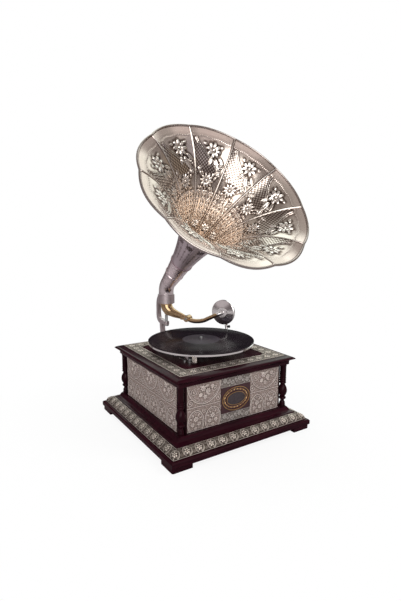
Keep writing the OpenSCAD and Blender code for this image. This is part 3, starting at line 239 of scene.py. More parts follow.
def metalFinish(name, colour, rough, scale=90.0, worn=0.82, platedEnd=None):
    # plain metal with smears in its gloss, and in its colour down to the share worn; a plated end
    # has its own colour within reach of its centre
    glossSpread = 0.05
    made = Finish(name, metallic=1.0)
    smear = made.noise(made.place(), scale, detail=5, rough=0.6)
    cloud = made.noise(made.place(), 14.0, detail=3)
    dim = tuple(c * worn for c in colour)
    tone = made.ramp(cloud * 0.6 + smear * 0.4, (0.35, dim), (0.62, colour))
    if platedEnd:
        away = made.length(made.place(centre=platedEnd["centre"]))
        plated = ((platedEnd["reach"] - away) * edgeSharpness).clipped()
        tone = made.mix(plated, tone, (*platedEnd["colour"], 1))
    gloss = rough + smear * glossSpread * 2 - glossSpread + cloud * 0.05
    return made.set(baseColor=tone, roughness=gloss.clipped(),
                    normal=made.bump(smear, distance=0.00006, strength=0.3)).material


def plainFinish(name, colour, rough, spread=0.25, scale=60.0, coat=0.0):
    # leather, mica or paint: one colour that wanders by the share spread
    made = Finish(name, coatWeight=coat, coatRoughness=0.08)
    cloud = made.noise(made.place(), scale, detail=6, rough=0.6)
    low = tuple(c * (1 - spread) for c in colour)
    high = tuple(min(1, c * (1 + spread)) for c in colour)
    return made.set(baseColor=made.ramp(cloud, (0.3, low), (0.7, high)),
                    roughness=(rough + cloud * 0.16 - 0.08).clipped(),
                    normal=made.bump(cloud, distance=0.0002, strength=0.4)).material


def recordFinish():
    # grooves round the spindle, smooth bands between the tracks, and a plain label with fine rings
    steps = {"labelRadius": 0.0455, "grooveStep": 0.00085, "ringStep": 0.0095, "ringLevel": 0.93}
    made = Finish("recordShellac", specular=0.1)
    where = made.place(centre=spindleFoot)
    radius = made.length(made.add("VectorMath", {"operation": "MULTIPLY"}, {0: where, 1: (1, 1, 0)}))
    groove = (radius * (2 * math.pi / steps["grooveStep"])).sine()
    band = made.noise(made.add("CombineXYZ", None, {"X": radius * 70}), 6.0, detail=2)
    cloud = made.noise(where, 24.0, detail=4)
    label = ((steps["labelRadius"] - radius) * edgeSharpness).clipped()
    rings = (radius * (2 * math.pi / steps["ringStep"])).sine()
    ringed = ((rings - steps["ringLevel"]) * 1000).clipped()
    disc = made.ramp(band * 0.6 + cloud * 0.4, (0.35, (0.008, 0.005, 0.007)), (0.7, (0.020, 0.013, 0.017)))
    plain = made.ramp(cloud, (0.3, (0.026, 0.021, 0.028)), (0.7, (0.050, 0.040, 0.050)))
    paper = made.mix(ringed * 0.4, plain, (0.12, 0.105, 0.115, 1))
    tone = made.mix(label, disc, paper)
    rough = (0.13 + band * 0.10) * (1 - label) + label * 0.42
    height = groove * (1 - label) * 0.6 + cloud * label
    return made.set(baseColor=tone, roughness=rough.clipped(),
                    normal=made.bump(height, distance=0.00012, strength=0.35)).material


def feltFinish():
    made = Finish("feltCloth", roughness=0.95, sheenWeight=0.4)
    fibre = made.noise(made.place(), 900.0, detail=4, rough=0.7)
    return made.set(baseColor=made.ramp(fibre, (0.3, (0.03, 0.012, 0.014)), (0.7, (0.075, 0.03, 0.034))),
                    normal=made.bump(fibre, distance=0.0006, strength=0.6)).material


# the nickel socket of the gooseneck, round the middle of the sound box
platedEnd = {"centre": boxMiddle, "reach": 0.022, "colour": (0.80, 0.78, 0.79)}
finishes = {
    "lacquerX": woodFinish("lacquerX", (0.007, 0.0013, 0.0028), (0.032, 0.0042, 0.0095), 0),
    # upright pieces: a darker copy of the same lacquer, painted shade
    "shadedLacquerZ": woodFinish("shadedLacquerZ", (0.005, 0.0010, 0.0020), (0.022, 0.0030, 0.0064), 2),
    "maroonBoard": woodFinish("maroonBoard", (0.018, 0.004, 0.007), (0.046, 0.009, 0.014), 0),
    # pressed sheets: the first colour is painted shade for the hollows, the last a painted highlight for the
    # tops
    "embossed": embossedFinish("embossedSheet", (0.050, 0.036, 0.032), (0.38, 0.30, 0.27),
                               (1.0, 0.93, 0.88)),
    "embossedFine": embossedFinish("embossedStrip", (0.085, 0.070, 0.066), (0.26, 0.225, 0.205),
                                   (0.60, 0.56, 0.53)),
    "embossedDark": embossedFinish("embossedBorder", (0.022, 0.016, 0.014), (0.105, 0.080, 0.066),
                                   (0.82, 0.74, 0.66), metal=0.6, gloss=0.36, grime=0.35),
    "horn": hornFinish(),
    "rim": metalFinish("rolledRim", (0.46, 0.41, 0.39), 0.24),
    "nickel": metalFinish("nickelPlate", (0.90, 0.88, 0.89), 0.10),
    "elbow": metalFinish("elbowNickel", (0.88, 0.79, 0.82), 0.22),
    "neck": metalFinish("neckSheet", (1.0, 0.87, 0.91), 0.24, scale=150.0, worn=0.40),
    "steel": metalFinish("turnedSteel", (0.50, 0.51, 0.52), 0.30),
    "spring": metalFinish("bluedSpring", (0.16, 0.20, 0.30), 0.28),
    "brassArm": metalFinish("brassTube", (0.53, 0.37, 0.215), 0.20, platedEnd=platedEnd),
    "brassGear": metalFinish("cutBrass", (0.74, 0.57, 0.30), 0.30),
    "gold": metalFinish("goldLine", (0.56, 0.36, 0.17), 0.42),
    "cast": metalFinish("greyCasting", (0.60, 0.53, 0.55), 0.40, scale=260.0),
    "record": recordFinish(),
    "felt": feltFinish(),
    "leather": plainFinish("brakeLeather", (0.13, 0.07, 0.035), 0.7),
    "mica": plainFinish("micaSheet", (0.60, 0.54, 0.42), 0.25, spread=0.15),
    "black": plainFinish("blackLacquer", (0.012, 0.012, 0.013), 0.25, coat=0.6),
    "enamel": plainFinish("darkEnamel", (0.030, 0.020, 0.024), 0.36, spread=0.6, scale=260.0, coat=0.3),
    "maroonPaint": plainFinish("maroonPaint", (0.032, 0.005, 0.009), 0.34, spread=0.3, coat=0.25),
}
print("finishes made:", len(finishes))


# relief drawing, in millimetres on a flat design
upright = 1.57  # turn of a leaf that points up


class Relief:
    # heights at the points x, y; a form's rise is a share of the sheet's peak
    def __init__(self, x, y):
        self.x, self.y, self.h = x, y, np.zeros(len(x))

    def local(self, cx, cy, turn, reach):
        # the points within reach, and how far along and across a form turned about cx, cy they lie
        found = np.nonzero((np.abs(self.x - cx) < reach) & (np.abs(self.y - cy) < reach))[0]
        dx, dy = self.x[found] - cx, self.y[found] - cy
        c, s = math.cos(turn), math.sin(turn)
        return found, dx * c + dy * s, dy * c - dx * s

    def lift(self, found, height):
        self.h[found] = np.maximum(self.h[found], height)

    def bead(self, cx, cy, long, wide=None, turn=0.0, rise=1.0, crease=0.0):
        # a rounded oval; crease is how deep a line is pressed along its middle
        wide = wide or long
        found, u, v = self.local(cx, cy, turn, long)
        inside = np.clip(1 - (u / long) ** 2 - (v / wide) ** 2, 0, None)
        line = 1 - crease * np.exp(-(v / (0.28 * wide)) ** 2)
        self.lift(found, rise * inside ** 0.4 * line)

    def daisy(self, cx, cy, radius, count, turn, rise):
        # creased beads round a round one
        for k in range(count):
            a = turn + 2 * math.pi * k / count
            self.bead(cx + 0.62 * radius * math.cos(a), cy + 0.62 * radius * math.sin(a),
                      0.38 * radius, 0.80 * radius * math.pi / count * 0.62, a, rise, crease=0.45)
        self.bead(cx, cy, 0.20 * radius, rise=rise * 0.9)

    def leaf(self, x, y, turn, length, wide, rise, rib=0.5):
        # starts at x, y and points along turn; rib is how deep its middle line is pressed
        mid = length / 2
        found, u, v = self.local(x + mid * math.cos(turn), y + mid * math.sin(turn), turn, mid + 1)
        t = np.clip((u + mid) / length, 0, 1)
        half = wide / 2 * np.sin(math.pi * t ** 0.75) + 1e-6
        body = np.sqrt(np.clip(1 - (v / half) ** 2, 0, 1)) * (t > 0) * (t < 1)
        self.lift(found, rise * body * (1 - rib * np.exp(-(v / (0.16 * wide)) ** 2)))

    def leavesRound(self, cx, cy, radius, turns, length, wide, rise, rib=0.5):
        # leaves that start on a circle and point away from its centre
        for turn in turns:
            self.leaf(cx + radius * math.cos(turn), cy + radius * math.sin(turn), turn, length, wide,
                      rise, rib)

    def line(self, points, wide, rise):
        # a half-round thread, wide to each side
        points = np.asarray(points, float)
        low, high = points.min(0) - wide, points.max(0) + wide
        boxed = (self.x > low[0]) & (self.x < high[0]) & (self.y > low[1]) & (self.y < high[1])
        found = np.nonzero(boxed)[0]
        px, py = self.x[found], self.y[found]
        best = np.full(len(found), 1e9)
        for (ax, ay), (bx, by) in zip(points[:-1], points[1:]):
            dx, dy = bx - ax, by - ay
            t = np.clip(((px - ax) * dx + (py - ay) * dy) / (dx * dx + dy * dy + 1e-12), 0, 1)
            best = np.minimum(best, (px - ax - t * dx) ** 2 + (py - ay - t * dy) ** 2)
        self.lift(found, rise * np.sqrt(np.clip(1 - best / wide ** 2, 0, 1)))

    def scroll(self, cx, cy, radius, turns, start, hand, wide, rise):
        # a thread that winds inwards to a bead; hand is 1 or -1
        steps = int(18 * turns)
        ends = [(radius * (1 - 0.82 * i / steps), start + hand * 2 * math.pi * turns * i / steps)
                for i in range(steps + 1)]
        self.line([(cx + r * math.cos(a), cy + r * math.sin(a)) for r, a in ends], wide, rise)
        self.bead(cx, cy, 0.2 * radius, rise=rise)

    def foliage(self, x0, x1, y0, y1, pitch, seed, rise):
        # small curled leaves that fill the ground
        rng = np.random.default_rng(seed)
        for j, y in enumerate(np.arange(y0 + pitch / 2, y1, pitch * 0.8)):
            for x in np.arange(x0 + pitch / 2 * (1 + j % 2), x1, pitch):
                turn = rng.uniform(0, 2 * math.pi)
                grow = rng.uniform(0.7, 1.15)
                self.leaf(x + rng.uniform(-0.6, 0.6), y + rng.uniform(-0.6, 0.6), turn,
                          pitch * 0.95 * grow, pitch * 0.42 * grow, rise, rib=0.35)


def paintedToneOf(height, column, row, reach, ground, gap, spread):
    # stored tone with painted light: the forms get a painted highlight, and the ground within reach of them
    # gets painted shade
    field = np.zeros((row.max() + 1, column.max() + 1))
    field[row, column] = np.clip(height, 0, 1)
    around = field
    for axis in (0, 1):
        around = sum(np.roll(around, k, axis) for k in range(-reach, reach + 1)) / (2 * reach + 1)
    shade = np.clip(around[row, column] * spread, 0, 1) * gap
    dark = ground * (1 - shade)
    return np.clip(dark + (1 - dark) * np.clip(height, 0, 1) ** 0.8, 0, 1)


# meshes and their objects
def linked(name, data):
    made = bpy.data.objects.new(name, data)
    bpy.context.scene.collection.objects.link(made)
    return made


def meshObject(name, mesh, body, finish, nodes=()):
    made = linked(name, mesh)
    mesh.materials.clear()
    mesh.materials.append(finishes[finish])
    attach(made, body)
    if nodes:
        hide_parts(*nodes)


def meshFrom(work, name):
    mesh = bpy.data.meshes.new(name)
    work.to_mesh(mesh)
    work.free()
    return mesh


def smoothFaces(work):
    bmesh.ops.recalc_face_normals(work, faces=work.faces)
    for face in work.faces:
        face.smooth = True


def gridMesh(name, columns, rows, place):
    # a unit grid whose points place() moves; its borders are merged and what is open is closed
    mergeDistance, flatDistance = 1e-7, 1e-8
    work = bmesh.new()
    bmesh.ops.create_grid(work, x_segments=columns, y_segments=rows, size=0.5)
    mesh = meshFrom(work, name)
    flat = np.zeros(len(mesh.vertices) * 3, np.float32)
    mesh.vertices.foreach_get("co", flat)
    flat = flat.reshape(-1, 3)
    column = np.rint((flat[:, 0] + 0.5) * columns).astype(int)
    row = np.rint((flat[:, 1] + 0.5) * rows).astype(int)
    points, stored = place(column, row)
    mesh.vertices.foreach_set("co", points.astype(np.float32).ravel())
    for key, values in stored.items():
        layer = mesh.attributes.new(key, "FLOAT", "POINT")
        layer.data.foreach_set("value", values.astype(np.float32))
    work = bmesh.new()
    work.from_mesh(mesh)
    bmesh.ops.remove_doubles(work, verts=work.verts, dist=mergeDistance)
    bmesh.ops.dissolve_degenerate(work, edges=work.edges, dist=flatDistance)
    border = [e for e in work.edges if e.is_boundary]
    if border:
        bmesh.ops.holes_fill(work, edges=border, sides=0)
    smoothFaces(work)
    work.to_mesh(mesh)
    work.free()
    return mesh


def onSkirt(column, row, columns, rows):
    # a pressed grid's outermost rows and columns fold back as a skirt
    return (column == 0) | (column == columns) | (row == 0) | (row == rows)


def shareOf(index, count):
    # 0 to 1 from skirt to skirt
    return (np.clip(index, 1, count - 1) - 1) / (count - 2)


def pressedTone(art, skirt, column, row, tone):
    return {"relief": np.where(skirt, 0, paintedToneOf(art.h, column, row, **tone))}


def copiesRound(base, names, put, firstDeg, body, finish, node):
    # copies of one mesh, turned evenly about Z and then put in place; the first stands for the node
    for k, name in enumerate(names):
        mesh = base.copy()
        mesh.transform(put @ Matrix.Rotation(math.radians(360 / len(names) * k + firstDeg), 4, "Z"))
        meshObject(name, mesh, body, finish, [node] if k == 0 else [])
    bpy.data.meshes.remove(base)


def fourSides(base, stem, node):
    names = [stem + side for side in ("Front", "Right", "Back", "Left")]
    copiesRound(base, names, Matrix.Translation(spindleFoot), 0, "root", "embossedDark", node)


# pressed sheets on the case
sheets = {
    "stepMm": 0.9, "groundMm": 0.35, "peakMm": 1.15, "gapMm": 0.2,
    "halfMm": 124.0, "lowMm": 49.8, "highMm": 152.5, "wallMm": 139.0,
    "stripMm": 39.5, "badgeLowMm": 70.7, "badgeHighMm": 128.7,
    # tone: painted shade round the forms and a painted highlight on them
    "tone": {"reach": 3, "ground": 0.46, "gap": 1.0, "spread": 2.6},
    # doubled threads, as shares of the arc's size and of the thread
    "threadMm": 0.85, "doubleArc": ((1.0, 1.0), (0.93, 0.6)), "doubleArch": ((1.0, 1.0), (0.86, 0.55)),
    # flowers under a hanging arc: across, down, radius; flowers in an arch: across, up, radius
    "hungFlowers": ((-3, 12, 7.0), (9, 19, 6.4), (-9, 25, 5.4), (2, 31, 5.0), (20, 11, 5.0)),
    "archFlowers": ((0, 8, 6.4), (-8, -3, 5.0), (8, -3, 5.0), (0, -12, 4.2)),
}


def pressedSheet(name, spanX, spanY, draw, mount, nodes, finish):
    # flat panel with its skirt bent back; draw() fills the relief and mount() lays it on its wall
    (x0, x1), (y0, y1) = spanX, spanY
    columns = int(round((x1 - x0) / sheets["stepMm"])) + 2
    rows = int(round((y1 - y0) / sheets["stepMm"])) + 2

    def place(column, row):
        x = x0 + (x1 - x0) * shareOf(column, columns)
        y = y0 + (y1 - y0) * shareOf(row, rows)
        skirt = onSkirt(column, row, columns, rows)
        art = Relief(x, y)
        draw(art)
        rise = np.where(skirt, 0, sheets["groundMm"] + art.h * sheets["peakMm"])
        return mount(x, y, rise), pressedTone(art, skirt, column, row, sheets["tone"])

    meshObject(name, gridMesh(name, columns, rows, place), "root", finish, nodes)


def onWall(turn):
    # lays x across and y up on the wall that faces -Y before it is turned about the spindle axis
    spin = Matrix.Rotation(math.radians(turn), 3, "Z")

    def mount(x, y, rise):
        flat = np.stack([x, -(sheets["wallMm"] + rise), y], 1) * mm
        return flat @ np.array(spin).T + np.array(spindleFoot)

    return mount


def drawHangingArc(art, cx, pitch, top, middle, high):
    # two threads hang in an arc from the upper edge, with a cluster of flowers inside and two
    # scrolls and two leaves at each side
    for size, wide in sheets["doubleArc"]:
        arc = [(cx + size * pitch * 0.485 * math.cos(a), top - 3 - size * high * 0.86 * math.sin(a))
               for a in np.linspace(0.05, math.pi - 0.05, 40)]
        art.line(arc, wide * sheets["threadMm"], rise=0.8)
    for across, down, radius in sheets["hungFlowers"]:
        art.daisy(cx + across, top - 2 - down, radius, count=7, turn=across, rise=1.0)
    for side in (-1, 1):
        art.scroll(cx + side * pitch * 0.31, top - high * 0.34, radius=8.0, turns=1.6,
                   start=1 + side, hand=side, wide=0.75, rise=0.6)
        art.scroll(cx + side * pitch * 0.41, middle + high * 0.20, radius=8.0, turns=1.6,
                   start=2 + side, hand=-side, wide=0.75, rise=0.6)
        art.leaf(cx + side * 12, top - 8, upright + side * 1.9, length=16, wide=5.4, rise=0.8)
        art.leaf(cx + side * 15, top - 30, upright + side * 1.2, length=13, wide=4.8, rise=0.8)


def drawArch(art, cx, pitch, base, high):
    # two threads round an arch that holds four flowers and a fan of leaves, with a scroll after it
    for size, wide in sheets["doubleArch"]:
        arch = [(cx + size * pitch * 0.46 * math.cos(a), base + size * high * 0.52 * math.sin(a))
                for a in np.linspace(-0.75, math.pi + 0.75, 34)]
        art.line(arch, wide * sheets["threadMm"], rise=0.8)
    for across, up, radius in sheets["archFlowers"]:
        art.daisy(cx + across, base + up, radius, count=7, turn=across, rise=1.0)
    art.scroll(cx + pitch * 0.5, base + high * 0.44, radius=5.4, turns=1.5, start=2.2, hand=1,
               wide=0.75, rise=0.6)
    art.leavesRound(cx, base + 6, 9.0, (0.3, 1.0, 2.14, 2.84), length=8.0, wide=3.4, rise=0.8)


def drawWall(x0, x1, y0, y1, pitch, seed):
    # hanging arcs above and arches of half their pitch below, a seam between the rows, and small
    # leaves that fill the ground
    middle = (y0 + y1) / 2
    high = (y1 - y0) / 2
    small = pitch / 2

    def draw(art):
        art.foliage(x0, x1, y0, y1, pitch=6.2, seed=seed, rise=0.32)
        for k in range(int(round((x1 - x0) / pitch))):
            drawHangingArc(art, x0 + pitch * (k + 0.5), pitch, y1, middle, high)
        for k in range(int(round((x1 - x0) / small))):
            drawArch(art, x0 + small * (k + 0.5), small, y0 + high * 0.34, high)
        for y in (y0 + 0.8, middle, y1 - 0.8):
            art.line([(x0, y), (x1, y)], 0.7, rise=0.75)

    return draw


def drawStrip(x0, x1, y0, y1, seed):
    # a row of flowers that steps up and down, four leaves round each, a scroll between two
    def draw(art):
        art.foliage(x0, x1, y0, y1, pitch=4.2, seed=seed, rise=0.3)
        middle = (y0 + y1) / 2
        for k, cx in enumerate(np.arange(x0 + 10, x1, 20.0)):
            cy = middle + 3 * (-1) ** k
            art.daisy(cx, cy, 6.4, count=8, turn=0.2, rise=1.1)
            art.leavesRound(cx, cy, 6.6, (0.6, 2.4, -0.7, -2.5), length=7.0, wide=3.4, rise=0.9)
            art.scroll(cx + 10, middle - 2 * (-1) ** k, radius=4.8, turns=1.4, start=k, hand=1,
                       wide=0.7, rise=0.9)
        for y in (y0 + 0.7, y1 - 0.7):
            art.line([(x0, y), (x1, y)], 0.6, rise=0.8)

    return draw


def makeCase():
    low, high, half, strip = (sheets[k] for k in ("lowMm", "highMm", "halfMm", "stripMm"))
    gap, front = sheets["gapMm"], onWall(0)
    pressedSheet("frontSheetLeft", (-half, -strip - gap), (low, high),
                 drawWall(-half, -strip, low, high, half - strip, 3), front, ["front_sheet"], "embossed")
    pressedSheet("frontSheetRight", (strip + gap, half), (low, high),
                 drawWall(strip, half, low, high, half - strip, 4), front, [], "embossed")
    pressedSheet("frontStripLow", (-strip, strip), (low, sheets["badgeLowMm"] - gap),
                 drawStrip(-strip, strip, low, sheets["badgeLowMm"], 5), front, [], "embossedFine")
    pressedSheet("frontStripHigh", (-strip, strip), (sheets["badgeHighMm"] + gap, high),
                 drawStrip(-strip, strip, sheets["badgeHighMm"], high, 6), front, [], "embossedFine")
    for name, turn, seed in (("leftSheet", -90, 7), ("rightSheet", 90, 8), ("backSheet", 180, 9)):
        pressedSheet(name, (-half, half), (low, high), drawWall(-half, half, low, high, half * 2 / 3, seed),
                     onWall(turn), [name.replace("Sheet", "_sheet")], "embossed")
    print("case sheets pressed")


# band of the plinth
band = {"centreMm": 161.0, "centreHighMm": 19.0, "radiusMm": 17.15, "fromDeg": 12.0, "toDeg": 89.0,
        "peakMm": 1.0, "pitchMm": 28.5, "stepMm": 0.9, "skirtMm": -0.5,
        # tone: painted shade round the forms and a painted highlight on them
        "tone": {"reach": 2, "ground": 0.40, "gap": 1.0, "spread": 2.4}}


def makeBand():
    # one mitred side, drawn as length along the side and arc round the moulding
    sweep = math.radians(band["toDeg"] - band["fromDeg"])
    arc = sweep * band["radiusMm"]
    rows = int(arc / band["stepMm"]) + 2
    reach = band["centreMm"] + band["radiusMm"]
    columns = int(2 * reach / band["stepMm"]) + 2

    def place(column, row):
        share = shareOf(row, rows)
        angle = np.radians(band["fromDeg"]) + share * sweep
        edge = band["centreMm"] + band["radiusMm"] * np.cos(angle)
        along = shareOf(column, columns) * 2 - 1
        art = Relief(along * edge, share * arc)
        drawBand(art, reach, arc)
        skirt = onSkirt(column, row, columns, rows)
        r = band["radiusMm"] + np.where(skirt, band["skirtMm"], art.h * band["peakMm"])
        out = band["centreMm"] + r * np.cos(angle)
        up = band["centreHighMm"] + r * np.sin(angle)
        points = np.stack([along * out, -out, up], 1) * mm
        return points, pressedTone(art, skirt, column, row, band["tone"])

    fourSides(gridMesh("bandSide", columns, rows, place), "band", "plinth_band")
    print("plinth band pressed")


def drawBand(art, reach, arc):
    # upright ovals that each hold a flower, with a curl and three leaves between them
    art.foliage(-reach, reach, 0, arc, pitch=5.0, seed=21, rise=0.12)
    pitch = band["pitchMm"]
    count = int(reach / pitch) + 1
    for k in range(-count, count + 1):
        cx = k * pitch
        art.daisy(cx - 0.6, arc * 0.52, 7.0, count=6, turn=0.2, rise=1.3)
        art.leaf(cx + 1.5, arc * 0.28, -1.0, length=6.0, wide=3.4, rise=0.8)
        for size, thread in ((1.0, 1.1), (0.80, 0.6)):
            oval = [(cx + size * 10.2 * math.cos(a), arc * 0.5 + size * 10.0 * math.sin(a))
                    for a in np.linspace(-1.2, 4.2, 30)]
            art.line(oval, thread, rise=0.75)
        art.scroll(cx + pitch / 2, arc * 0.72, radius=3.8, turns=1.4, start=3.9, hand=-1, wide=0.9,
                   rise=0.5)
        for side in (-1, 0, 1):
            art.leaf(cx + pitch / 2, arc * 0.16, math.pi / 2 + side * 0.7, length=9.0, wide=3.4, rise=0.55)
    for y in (0.9, arc - 0.9):
        art.line([(-reach, y), (reach, y)], 0.8, rise=0.8)


# border on the top
border = {"outMm": 140.7, "inMm": 110.0, "cornerMm": 22.0, "lowMm": 172.85, "groundMm": 0.55,
          "peakMm": 1.0, "stepMm": 1.0, "pitchMm": 25.0,
          # tone: painted shade round the forms and a painted highlight on them
          "tone": {"reach": 2, "ground": 0.40, "gap": 1.0, "spread": 2.4}}


def makeBorder():
    # four mitred sides; the inner corners are rounded, so a side ends on that curve
    out, inner, corner = border["outMm"], border["inMm"], border["cornerMm"]
    rows = int((out - inner + corner) / border["stepMm"]) + 2
    columns = int(2 * out / border["stepMm"]) + 2
    start = inner - corner
    straight = start / inner

    def place(column, row):
        along = shareOf(column, columns) * 2 - 1
        share = shareOf(row, rows)
        # inner edge of this side: straight, then an arc that ends on the mitre
        bend = np.clip((np.abs(along) - straight) / (1 - straight), 0, 1) * math.radians(45)
        ix = np.where(np.abs(along) < straight, np.abs(along) * inner, start + corner * np.sin(bend))
        iy = np.where(np.abs(along) < straight, inner, start + corner * np.cos(bend))
        x = np.sign(along) * (ix + (np.abs(along) * out - ix) * share)
        y = iy + (out - iy) * share
        art = Relief(x, y)
        drawBorder(art)
        skirt = onSkirt(column, row, columns, rows)
        rise = np.where(skirt, 0, border["groundMm"] + art.h * border["peakMm"])
        points = np.stack([x, -y, border["lowMm"] + rise], 1) * mm
        return points, pressedTone(art, skirt, column, row, border["tone"])

    fourSides(gridMesh("borderSide", columns, rows, place), "border", "top_border")
    print("top border pressed")


def drawBorder(art):
    # flowers with four leaves each, two scrolls between them, and a thread along each edge
    out, inner, pitch = border["outMm"], border["inMm"], border["pitchMm"]
    middle = (out + inner) / 2
    art.foliage(-out, out, inner - border["cornerMm"], out, pitch=5.0, seed=31, rise=0.14)
    count = int(out / pitch)
    for k in range(-count, count + 1):
        cx = k * pitch
        art.daisy(cx, middle, 8.4, count=7, turn=0.3, rise=1.2)
        art.scroll(cx + pitch / 2, middle + 5.8, radius=6.2, turns=1.5, start=2.0, hand=1, wide=1.0,
                   rise=0.6)
        art.scroll(cx + pitch / 2, middle - 6.4, radius=6.2, turns=1.5, start=5.0, hand=-1, wide=1.0,
                   rise=0.6)
        for side in (-1, 1):
            art.leaf(cx - 2.5, middle + side * 8.4, side * 1.9, length=6.5, wide=4.4, rise=0.7)
            art.leaf(cx + 2.5, middle + side * 8.4, side * 1.2, length=6.5, wide=4.4, rise=0.7)
    for y in (out - 1.0, inner + 1.0):
        art.line([(-out, y), (out, y)], 0.9, rise=0.9)


# horn; mouth and neck are radii, length and bell are depths behind the mouth
horn = {"mouth": 0.192, "neck": 0.020, "length": 0.344, "bell": 0.250, "lobe": 0.005, "lobeBack": 0.002,
        "lobeFade": 0.026, "sheet": 0.0012, "seam": 0.0013, "rimRadius": 0.0025, "petals": 10,
        "turnDeg": 11.6, "tiltDeg": 39.7, "behindMm": -103.4, "highMm": 541.873,
        # tone: painted shade round the forms and a painted highlight on them
        "peakMm": 2.1, "tone": {"reach": 4, "ground": 0.5, "spread": 3.2}, "rows": 210, "openColumns": 94,
        # shares of a petal's width at which the columns next to a seam lie, and where open ones start
        "seamShares": (0, 0.004, 0.009, 0.014, 0.020, 0.028, 0.038, 0.05), "openFrom": 0.058,
        "rimSides": 12, "rimSteps": 24}


def flare(depth):
    x = depth / horn["length"]
    bend = 0.95 * np.exp(-3.95 * x) * (1 - x ** 6) + 0.05 * np.exp(-x / 0.03)
    return horn["neck"] + (horn["mouth"] - horn["neck"]) * bend


def wallTurn(depth):
    # how far the flare leans outwards, from its change over a millimetre
    return np.arctan((flare(depth - mm / 2) - flare(depth + mm / 2)) / mm)


def petalPlace(share, depth, inset):
    # share runs from seam to seam and inset goes through the sheet; the horn's own Z runs into the neck
    swell = np.sin(np.pi * share) * np.exp(-depth / horn["lobeFade"])
    turn = wallTurn(depth)
    r = flare(depth) + horn["lobe"] * swell - inset * np.cos(turn)
    z = depth + horn["lobeBack"] * swell - inset * np.sin(turn)
    angle = 2 * np.pi * share / horn["petals"]
    return np.stack([r * np.cos(angle), r * np.sin(angle), z], 1)


def hornMatrix():
    tilt = Matrix.Rotation(-math.radians(90 + horn["tiltDeg"]), 4, "X")
    return Matrix.Translation(spindleFoot + Vector((0, horn["behindMm"], horn["highMm"])) * mm) @ tilt


petal = {
    # a sweep parts the scales from the flower: share of the petal's width, distance from the rim
    "sweep": ((-0.40, 24), (-0.36, 36), (-0.27, 48), (-0.10, 62), (0.10, 74), (0.28, 86), (0.40, 98)),
    "scalesFromMm": 26, "scalesToMm": 101, "scalePitch": 0.38, "scaleRise": 0.03, "scaleTone": 0.74,
    "beadRowMm": 19, "beadStepMm": 4.5, "beadReachMm": 54,
    "big": (8, 46), "second": (-1, 116), "third": (0, 221),  # flowers: across, distance from the rim
    "bigLeaves": ((1.30, 27, 10.0), (0.80, 22, 8.0), (1.80, 20, 7.5), (-0.5, 10, 5.5), (3.6, 12, 5.5)),
    "fourLeaves": (0.95, 2.2, -0.8, -2.3),
    "curls": ((1, 76, 6.5), (-1, 92, 5.5), (1, 97, 5.0)),  # side, distance from the rim, radius
    # rows of small flowers down the throat: distance from the rim, radius, count
    "rows": ((143, 6.6, 3), (158, 6.2, 3), (172, 5.6, 3), (186, 5.0, 3), (199, 4.6, 2),
             (244, 3.6, 2), (257, 3.2, 2), (270, 3.0, 2), (282, 2.8, 2)),
    "edgeFadeMm": 3.0, "ridgeHalfMm": 1.7,
}


def drawPetal(art, width):
    # x is across the petal and y runs from the rim into the throat; width(y) is the petal's own
    for x in np.arange(-petal["beadReachMm"], petal["beadReachMm"] + 1, petal["beadStepMm"]):
        art.bead(x, petal["beadRowMm"] + 1.2 * math.cos(x / 6), 1.1, rise=0.55)
    curve = [(share * width(y), y) for share, y in petal["sweep"]]
    scales = drawScales(art, curve)
    for offset, thread in ((0, 0.9), (3.2, 0.7)):
        art.line([(x + offset, y - offset * 0.6) for x, y in curve], thread, rise=0.9)
    cx, cy = petal["big"]
    art.daisy(cx, cy, 19.0, count=8, turn=0.15, rise=1.3)
    for turn, length, wide in petal["bigLeaves"]:
        art.leavesRound(cx, cy, 19, (turn,), length, wide, rise=1.2, rib=0.7)
    for side, y, size in petal["curls"]:
        art.scroll(side * width(y) * 0.33, y, size, turns=1.4, start=0.6 * side, hand=side, wide=0.9,
                   rise=0.9)
        art.leaf(side * width(y) * 0.30, y + 6, upright + side * 0.5, length=11, wide=4.4, rise=0.9)
    cx, cy = petal["second"]
    art.daisy(cx, cy, 16.5, count=10, turn=0.0, rise=1.3)
    art.leavesRound(cx, cy, 16, petal["fourLeaves"], length=9.0, wide=4.2, rise=0.9, rib=0.6)
    cx, cy = petal["third"]
    art.daisy(cx, cy, 10.5, count=8, turn=0.2, rise=2.6)
    art.leavesRound(cx, cy, 10, petal["fourLeaves"], length=6.0, wide=3.0, rise=1.4, rib=0.6)
    for y, radius, count in petal["rows"]:
        for k in range(count):
            cx = width(y) * ((k + 0.5) / count - 0.5)
            art.daisy(cx, y, radius, count=7, turn=y, rise=1.0)
            art.leaf(cx, y + radius, 1.4, radius * 1.5, radius * 0.7, rise=0.8)
            art.leaf(cx, y - radius, -1.9, radius * 1.3, radius * 0.6, rise=0.8)
    return scales


def drawScales(art, curve):
    # a net between the first seam and the sweep; it shows in the tone more than in the relief
    edge = np.interp(art.y, [y for x, y in curve], [x for x, y in curve])
    netted = (art.x < edge - 2) & (art.y > petal["scalesFromMm"]) & (art.y < petal["scalesToMm"])
    found = np.nonzero(netted)[0]
    u = (art.x[found] + art.y[found]) * petal["scalePitch"]
    v = (art.x[found] - art.y[found]) * petal["scalePitch"]
    scales = np.zeros(len(art.x))
    scales[found] = np.abs(np.sin(u) * np.sin(v))
    art.lift(found, petal["scaleRise"] * scales[found])
    return scales


